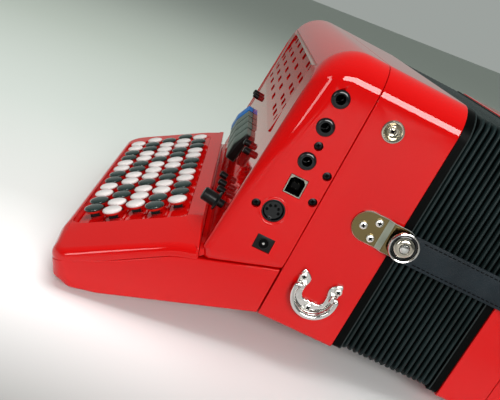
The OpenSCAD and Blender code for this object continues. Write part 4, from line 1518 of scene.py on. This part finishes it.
def bellows():
    outer = fold_rings()
    inner = [ring_outline(FOLD_X[1], 0, DEPTH, 9.0, 3, 3, steps=6),
             ring_outline(FOLD_X[0], 0, DEPTH, 9.0, 3, 3, steps=6)]
    folds = Shape(CLOTH, CLOTH_VALLEY_SHADE).loft(outer + inner, wrap=True)
    size = len(outer[0])
    # Faces beside each valley take the darker copy: painted shade in the creases.
    for k in range(len(outer) - 1):
        if k % 10 in (0, 1, 8, 9):
            folds.slots[k * size:(k + 1) * size] = [1] * size
    made = folds.build("bellows_cloth_folds", None, "bellows_cloth", ["bellows_folds"], sharp=60)
    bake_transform(made)


def frame_ring(x0, x1, bead_x):
    """Black frame with softened edges and a corded bead beside the folds."""
    made = Shape(FRAME_BLACK, BEAD)
    inset = 1.0
    rings = [ring_outline(x0, 0, DEPTH, 9.0, 4, 12),
             ring_outline(x0, 0, DEPTH, inset + 0.4, 4, 18.6),
             ring_outline(x0 + 0.4, 0, DEPTH, inset, 4, 19),
             ring_outline(x1 - 0.4, 0, DEPTH, inset, 4, 19),
             ring_outline(x1, 0, DEPTH, inset + 0.4, 4, 18.6),
             ring_outline(x1, 0, DEPTH, 9.0, 4, 12)]
    made.loft(rings, wrap=True)
    path = ring_outline(bead_x, 0, DEPTH, inset + 0.25, 4, 18.6)
    made.tube(path, 0.55, 1, 8, closed=True)
    return made


def build_bellows():
    bellows()
    frame_ring(FRAME_X + 0.15, FRAME_X + FRAME_W, FRAME_X + FRAME_W - 0.6).build(
        "treble_frame_ring", "treble_side", "black_frame", ["treble_frame"])
    frame_ring(BASS_X - FRAME_W, BASS_X - 0.15, BASS_X - FRAME_W + 0.6).build(
        "bass_frame_ring", "bass_side", "black_frame", ["bass_frame"])


# ---------------------------------------------------------------- bass side


def arch(t, offset, rise=26.0):
    """Middle line of the hand strap, standing off the outer face."""
    return Vector((END_X + offset + rise * math.sin(math.pi * t), 22 + (BODY_L - 70) * t, 0))


def hand_strap():
    """Padded strap, crowned on the outside, with two rows of stitches and an end plate each end."""
    lo, hi = extent("hand_strap")
    z0, z1 = lo.z + 0.5, hi.z - 0.5
    made = Shape(HAND_LEATHER, PALE_THREAD)
    rings = []
    stations = 36
    across = 12
    for t in [-0.05, -0.025] + [k / stations for k in range(stations + 1)] + [1.01, 1.045]:
        flat = min(1.0, max(0.0, t))
        base = arch(flat, 0.15)
        base.y += (t - flat) * (BODY_L - 70)
        ahead = arch(min(1.0, flat + 0.01), 0) - arch(max(0.0, flat - 0.01), 0)
        if t != flat:
            ahead = Vector((0, 1, 0))
        out = Vector((ahead.y, -ahead.x, 0)).normalized()
        pad = 1.0 if 0.12 < flat < 0.88 else 0.35
        ring = []
        for k in range(across + 1):
            v = k / across
            crown = (1 - (2 * v - 1) ** 6)
            ring.append(base + out * (1.6 + 2.0 * crown * pad) + Vector((0, 0, z0 + (z1 - z0) * v)))
        for k in range(across, -1, -1):
            v = k / across
            ring.append(base + out * 0.3 + Vector((0, 0, z0 + (z1 - z0) * v)))
        rings.append(ring)
    made.loft(rings)
    for edge in (z0 + 3.2, z1 - 3.2):
        for k in range(56):
            t = 0.03 + 0.94 * k / 56
            a, b = arch(t, 0), arch(t + 0.009, 0)
            ahead = (arch(t + 0.01, 0) - arch(t - 0.01, 0)).normalized()
            out = Vector((ahead.y, -ahead.x, 0))
            pad = 1.0 if 0.12 < t < 0.88 else 0.35
            lift = 1.75 + 2.0 * pad * (1 - (1 - 2 * 3.2 / (z1 - z0)) ** 6)
            made.tube([a + out * (lift - 0.1) + Vector((0, 0, edge)),
                       (a + b) / 2 + out * (lift + 0.12) + Vector((0, 0, edge)),
                       b + out * (lift - 0.1) + Vector((0, 0, edge))], 0.3, 1, 6)
    band = made.build("hand_strap_leather", "bass_side", "leather_strap", ["hand_strap"],
                      sharp=50)
    plates = Shape(CHROME)
    for y in (14.5, BODY_L - 40.5):
        outline = rounded([(y - 3.5, z0 + 2), (y + 3.5, z0 + 2), (y + 3.5, z1 - 2),
                           (y - 3.5, z1 - 2)], [1.5] * 4, 5)
        plates.prism([Vector((END_X + 2.6, a, b)) for a, b in outline], (1.2, 0, 0), 0, 0.3, 2)
        for z in (z0 + 10, z1 - 10):
            plates.lathe([(0, 0.9), (1.2, 0.85), (1.9, 0.4), (2.0, -0.5), (0, -0.5)],
                         (END_X + 3.9, y, z), (1, 0, 0), 0, 20)
    plates.build("hand_strap_plates", "bass_side", "chrome")


def bass_details():
    lo, hi = extent("strap_wheel")
    centre = Vector(((lo.x + hi.x) / 2, BODY_L, (lo.z + hi.z) / 2))
    wheel = Shape(BLACK)
    wheel.lathe([(0, 0.3), (3, 0.3), (3, 1.0), (9.8, 1.0), (10.4, 1.4), (10.4, 6.2), (9.8, 6.8),
                 (7.0, 6.9), (6.2, 6.2), (0, 6.0)], centre, (0, 1, 0), 0, 60)
    for k in range(36):
        angle = 2 * math.pi * k / 36
        ray = Vector((math.cos(angle), 0, math.sin(angle)))
        side = Vector((-math.sin(angle), 0, math.cos(angle)))
        foot = centre + ray * 10.1 + Vector((0, 1.4, 0))
        wheel.prism([foot - side * 0.55, foot + side * 0.55, foot + ray * 0.85 + side * 0.3,
                     foot + ray * 0.85 - side * 0.3], (0, 4.8, 0))
    wheel.build("strap_wheel_knurled", "strap_wheel", "black_plastic", ["strap_wheel"])
    feet = Shape(RUBBER)
    up = TURN.transposed() @ Vector((0, 0, 1))
    for pair in solids("bass_feet"):
        centre = middle(pair)
        foot = Vector((centre.x, centre.y, 0))
        foot -= up * ((LOCAL @ foot).z / MM - 0.02)
        feet.lathe([(0, 0.0), (7.6, 0.0), (8.5, 0.5), (8.8, 1.4), (8.8, 3.4), (0, 3.4)],
                   foot, up, 0, 40)
    feet.build("bass_rubber_feet", "bass_side", "rubber_pad", ["bass_feet"])


# ---------------------------------------------------------------- floor, light and camera


def stage():
    """Pale floor with painted light: a bright band just in front of the object, painted falloff
    towards the back, and darker further in front.
    """
    material = shader("floor", (0.47, 0.51, 0.475), 0.6, specular=0.2)
    place = node(material, "ShaderNodeTexCoord")
    split = node(material, "ShaderNodeSeparateXYZ")
    link(material, place.outputs["Object"], split.inputs["Vector"])
    wide = node(material, "ShaderNodeMapRange")
    wide.inputs["From Min"].default_value = -0.48
    wide.inputs["From Max"].default_value = 0.9
    link(material, split.outputs["Y"], wide.inputs["Value"])
    mottle = node(material, "ShaderNodeMath")
    mottle.operation = "MULTIPLY_ADD"
    mottle.inputs[1].default_value = 0.02
    link(material, noise(material, 1.4, 2.0), mottle.inputs[0])
    link(material, wide.outputs["Result"], mottle.inputs[2])
    # Colour bands along y: the painted light and falloff on the floor.
    painted_floor_light = node(material, "ShaderNodeValToRGB")
    steps = painted_floor_light.color_ramp.elements
    steps[0].position, steps[0].color = 0.16, (0.33, 0.33, 0.325, 1.0)
    steps[1].position, steps[1].color = 1.0, (0.50, 0.55, 0.50, 1.0)
    for at, shade in ((0.245, (0.88, 0.87, 0.88, 1.0)), (0.35, (0.63, 0.64, 0.63, 1.0)),
                      (0.55, (0.56, 0.60, 0.57, 1.0))):
        steps.new(at).color = shade
    link(material, mottle.outputs["Value"], painted_floor_light.inputs["Fac"])
    set_colour(material, painted_floor_light.outputs["Color"])
    mesh = bpy.data.meshes.new("floor")
    size = 14.0
    mesh.from_pydata([(-size, -size, 0), (size, -size, 0), (size, size, 0), (-size, size, 0)],
                     [], [(0, 1, 2, 3)])
    mesh.materials.append(material)
    floor = bpy.data.objects.new("floor", mesh)
    bpy.context.scene.collection.objects.link(floor)


def sky():
    """Dim even light that grows towards the back and upwards."""
    world = bpy.data.worlds.new("studio")
    bpy.context.scene.world = world
    world.use_nodes = True
    tree = world.node_tree
    background = tree.nodes["Background"]
    place = tree.nodes.new("ShaderNodeTexCoord")
    split = tree.nodes.new("ShaderNodeSeparateXYZ")
    tree.links.new(place.outputs["Generated"], split.inputs["Vector"])

    def rise(axis, start, end, low, high):
        """Strength that goes from low to high along one axis of the sky."""
        made = tree.nodes.new("ShaderNodeMapRange")
        for socket, value in (("From Min", start), ("From Max", end), ("To Min", low),
                              ("To Max", high)):
            made.inputs[socket].default_value = value
        tree.links.new(split.outputs[axis], made.inputs["Value"])
        return made.outputs["Result"]

    total = tree.nodes.new("ShaderNodeMath")
    total.operation = "ADD"
    tree.links.new(rise("Y", -0.9, 0.6, 0.08, 0.36), total.inputs[0])
    tree.links.new(rise("Z", 0.35, 1.0, 0.0, 0.10), total.inputs[1])
    background.inputs["Color"].default_value = (0.93, 1.0, 0.95, 1.0)
    tree.links.new(total.outputs["Value"], background.inputs["Strength"])
    bpy.context.scene.view_settings.view_transform = "Standard"


def area_light(name, place, target, size, power, colour=(1, 1, 1), size_y=None):
    data = bpy.data.lights.new(name, "AREA")
    data.energy = power
    data.color = colour
    data.size = size
    if size_y:
        data.shape = "RECTANGLE"
        data.size_y = size_y
    light = bpy.data.objects.new(name, data)
    bpy.context.scene.collection.objects.link(light)
    light.location = place
    light.rotation_euler = (Vector(target) - Vector(place)).to_track_quat("-Z", "Y").to_euler()
    return light


def lights():
    """A wide low softbox behind the camera, a big one overhead that only lights, and a small
    one at the left that draws the line along the cover's edge."""
    target = LOCAL @ Vector((-90, 0, 70))
    ray = (TURN @ Vector((0.19, -0.91, 0.38))).normalized()
    area_light("key", target + ray * 1.5, target, 0.86, 23, (1.0, 0.985, 0.96), 0.48)
    above = area_light("overhead", (-0.1, 0.2, 1.6), (0, 0.15, 0), 1.4, 26, (1.0, 1.0, 0.985))
    above.visible_glossy = False
    ray = (TURN @ Vector((-0.47, -0.86, 0.16))).normalized()
    area_light("left", target + ray * 1.6, target, 0.2, 3.6, (1.0, 1.0, 0.98), 0.7)


CAMERA_AT = (-152.7, -419.5, 195.7)
CAMERA_RIGHT = (0.893, 0.017, 0.450)
CAMERA_DOWN = (0.432, -0.313, -0.846)
LENS_MM = 50.85


def camera():
    """Camera low at the socket end, rolled as the view is."""
    data = bpy.data.cameras.new("camera")
    data.lens = LENS_MM
    data.sensor_width = 36.0
    data.clip_start = 0.01
    made = bpy.data.objects.new("camera", data)
    bpy.context.scene.collection.objects.link(made)
    right = (TURN @ Vector(CAMERA_RIGHT)).normalized()
    up = TURN @ -Vector(CAMERA_DOWN)
    back = right.cross(up).normalized()
    up = back.cross(right)
    made.matrix_world = Matrix((
        (right.x, up.x, back.x, 0), (right.y, up.y, back.y, 0), (right.z, up.z, back.z, 0),
        (0, 0, 0, 1)))
    made.matrix_world.translation = LOCAL @ Vector(CAMERA_AT)
    bpy.context.scene.camera = made


def inner_nodes():
    """CAD nodes that stay as they are inside the casings."""
    looks = {
        "circuit_boards": gloss_plastic("solder_mask", (0.02, 0.13, 0.06), 0.3, 0.3),
        "spring_mat": rubber("silicone_mat", (0.6, 0.6, 0.58)),
        "speakers": satin_plastic("speaker_cone", (0.03, 0.03, 0.032), 0.7),
        "battery_pack": satin_plastic("battery_holder", (0.03, 0.03, 0.035), 0.5),
    }
    for name, material in looks.items():
        NODES[name].data.materials.clear()
        NODES[name].data.materials.append(material)


stage()
sky()
lights()
camera()
inner_nodes()
build_casings()
build_bass_cover()
build_shelf()
build_controls()
sockets()
bracket_plates()
strap_loops()
clasps_and_screws()
screw_cups()
build_straps()
build_bellows()
hand_strap()
bass_details()
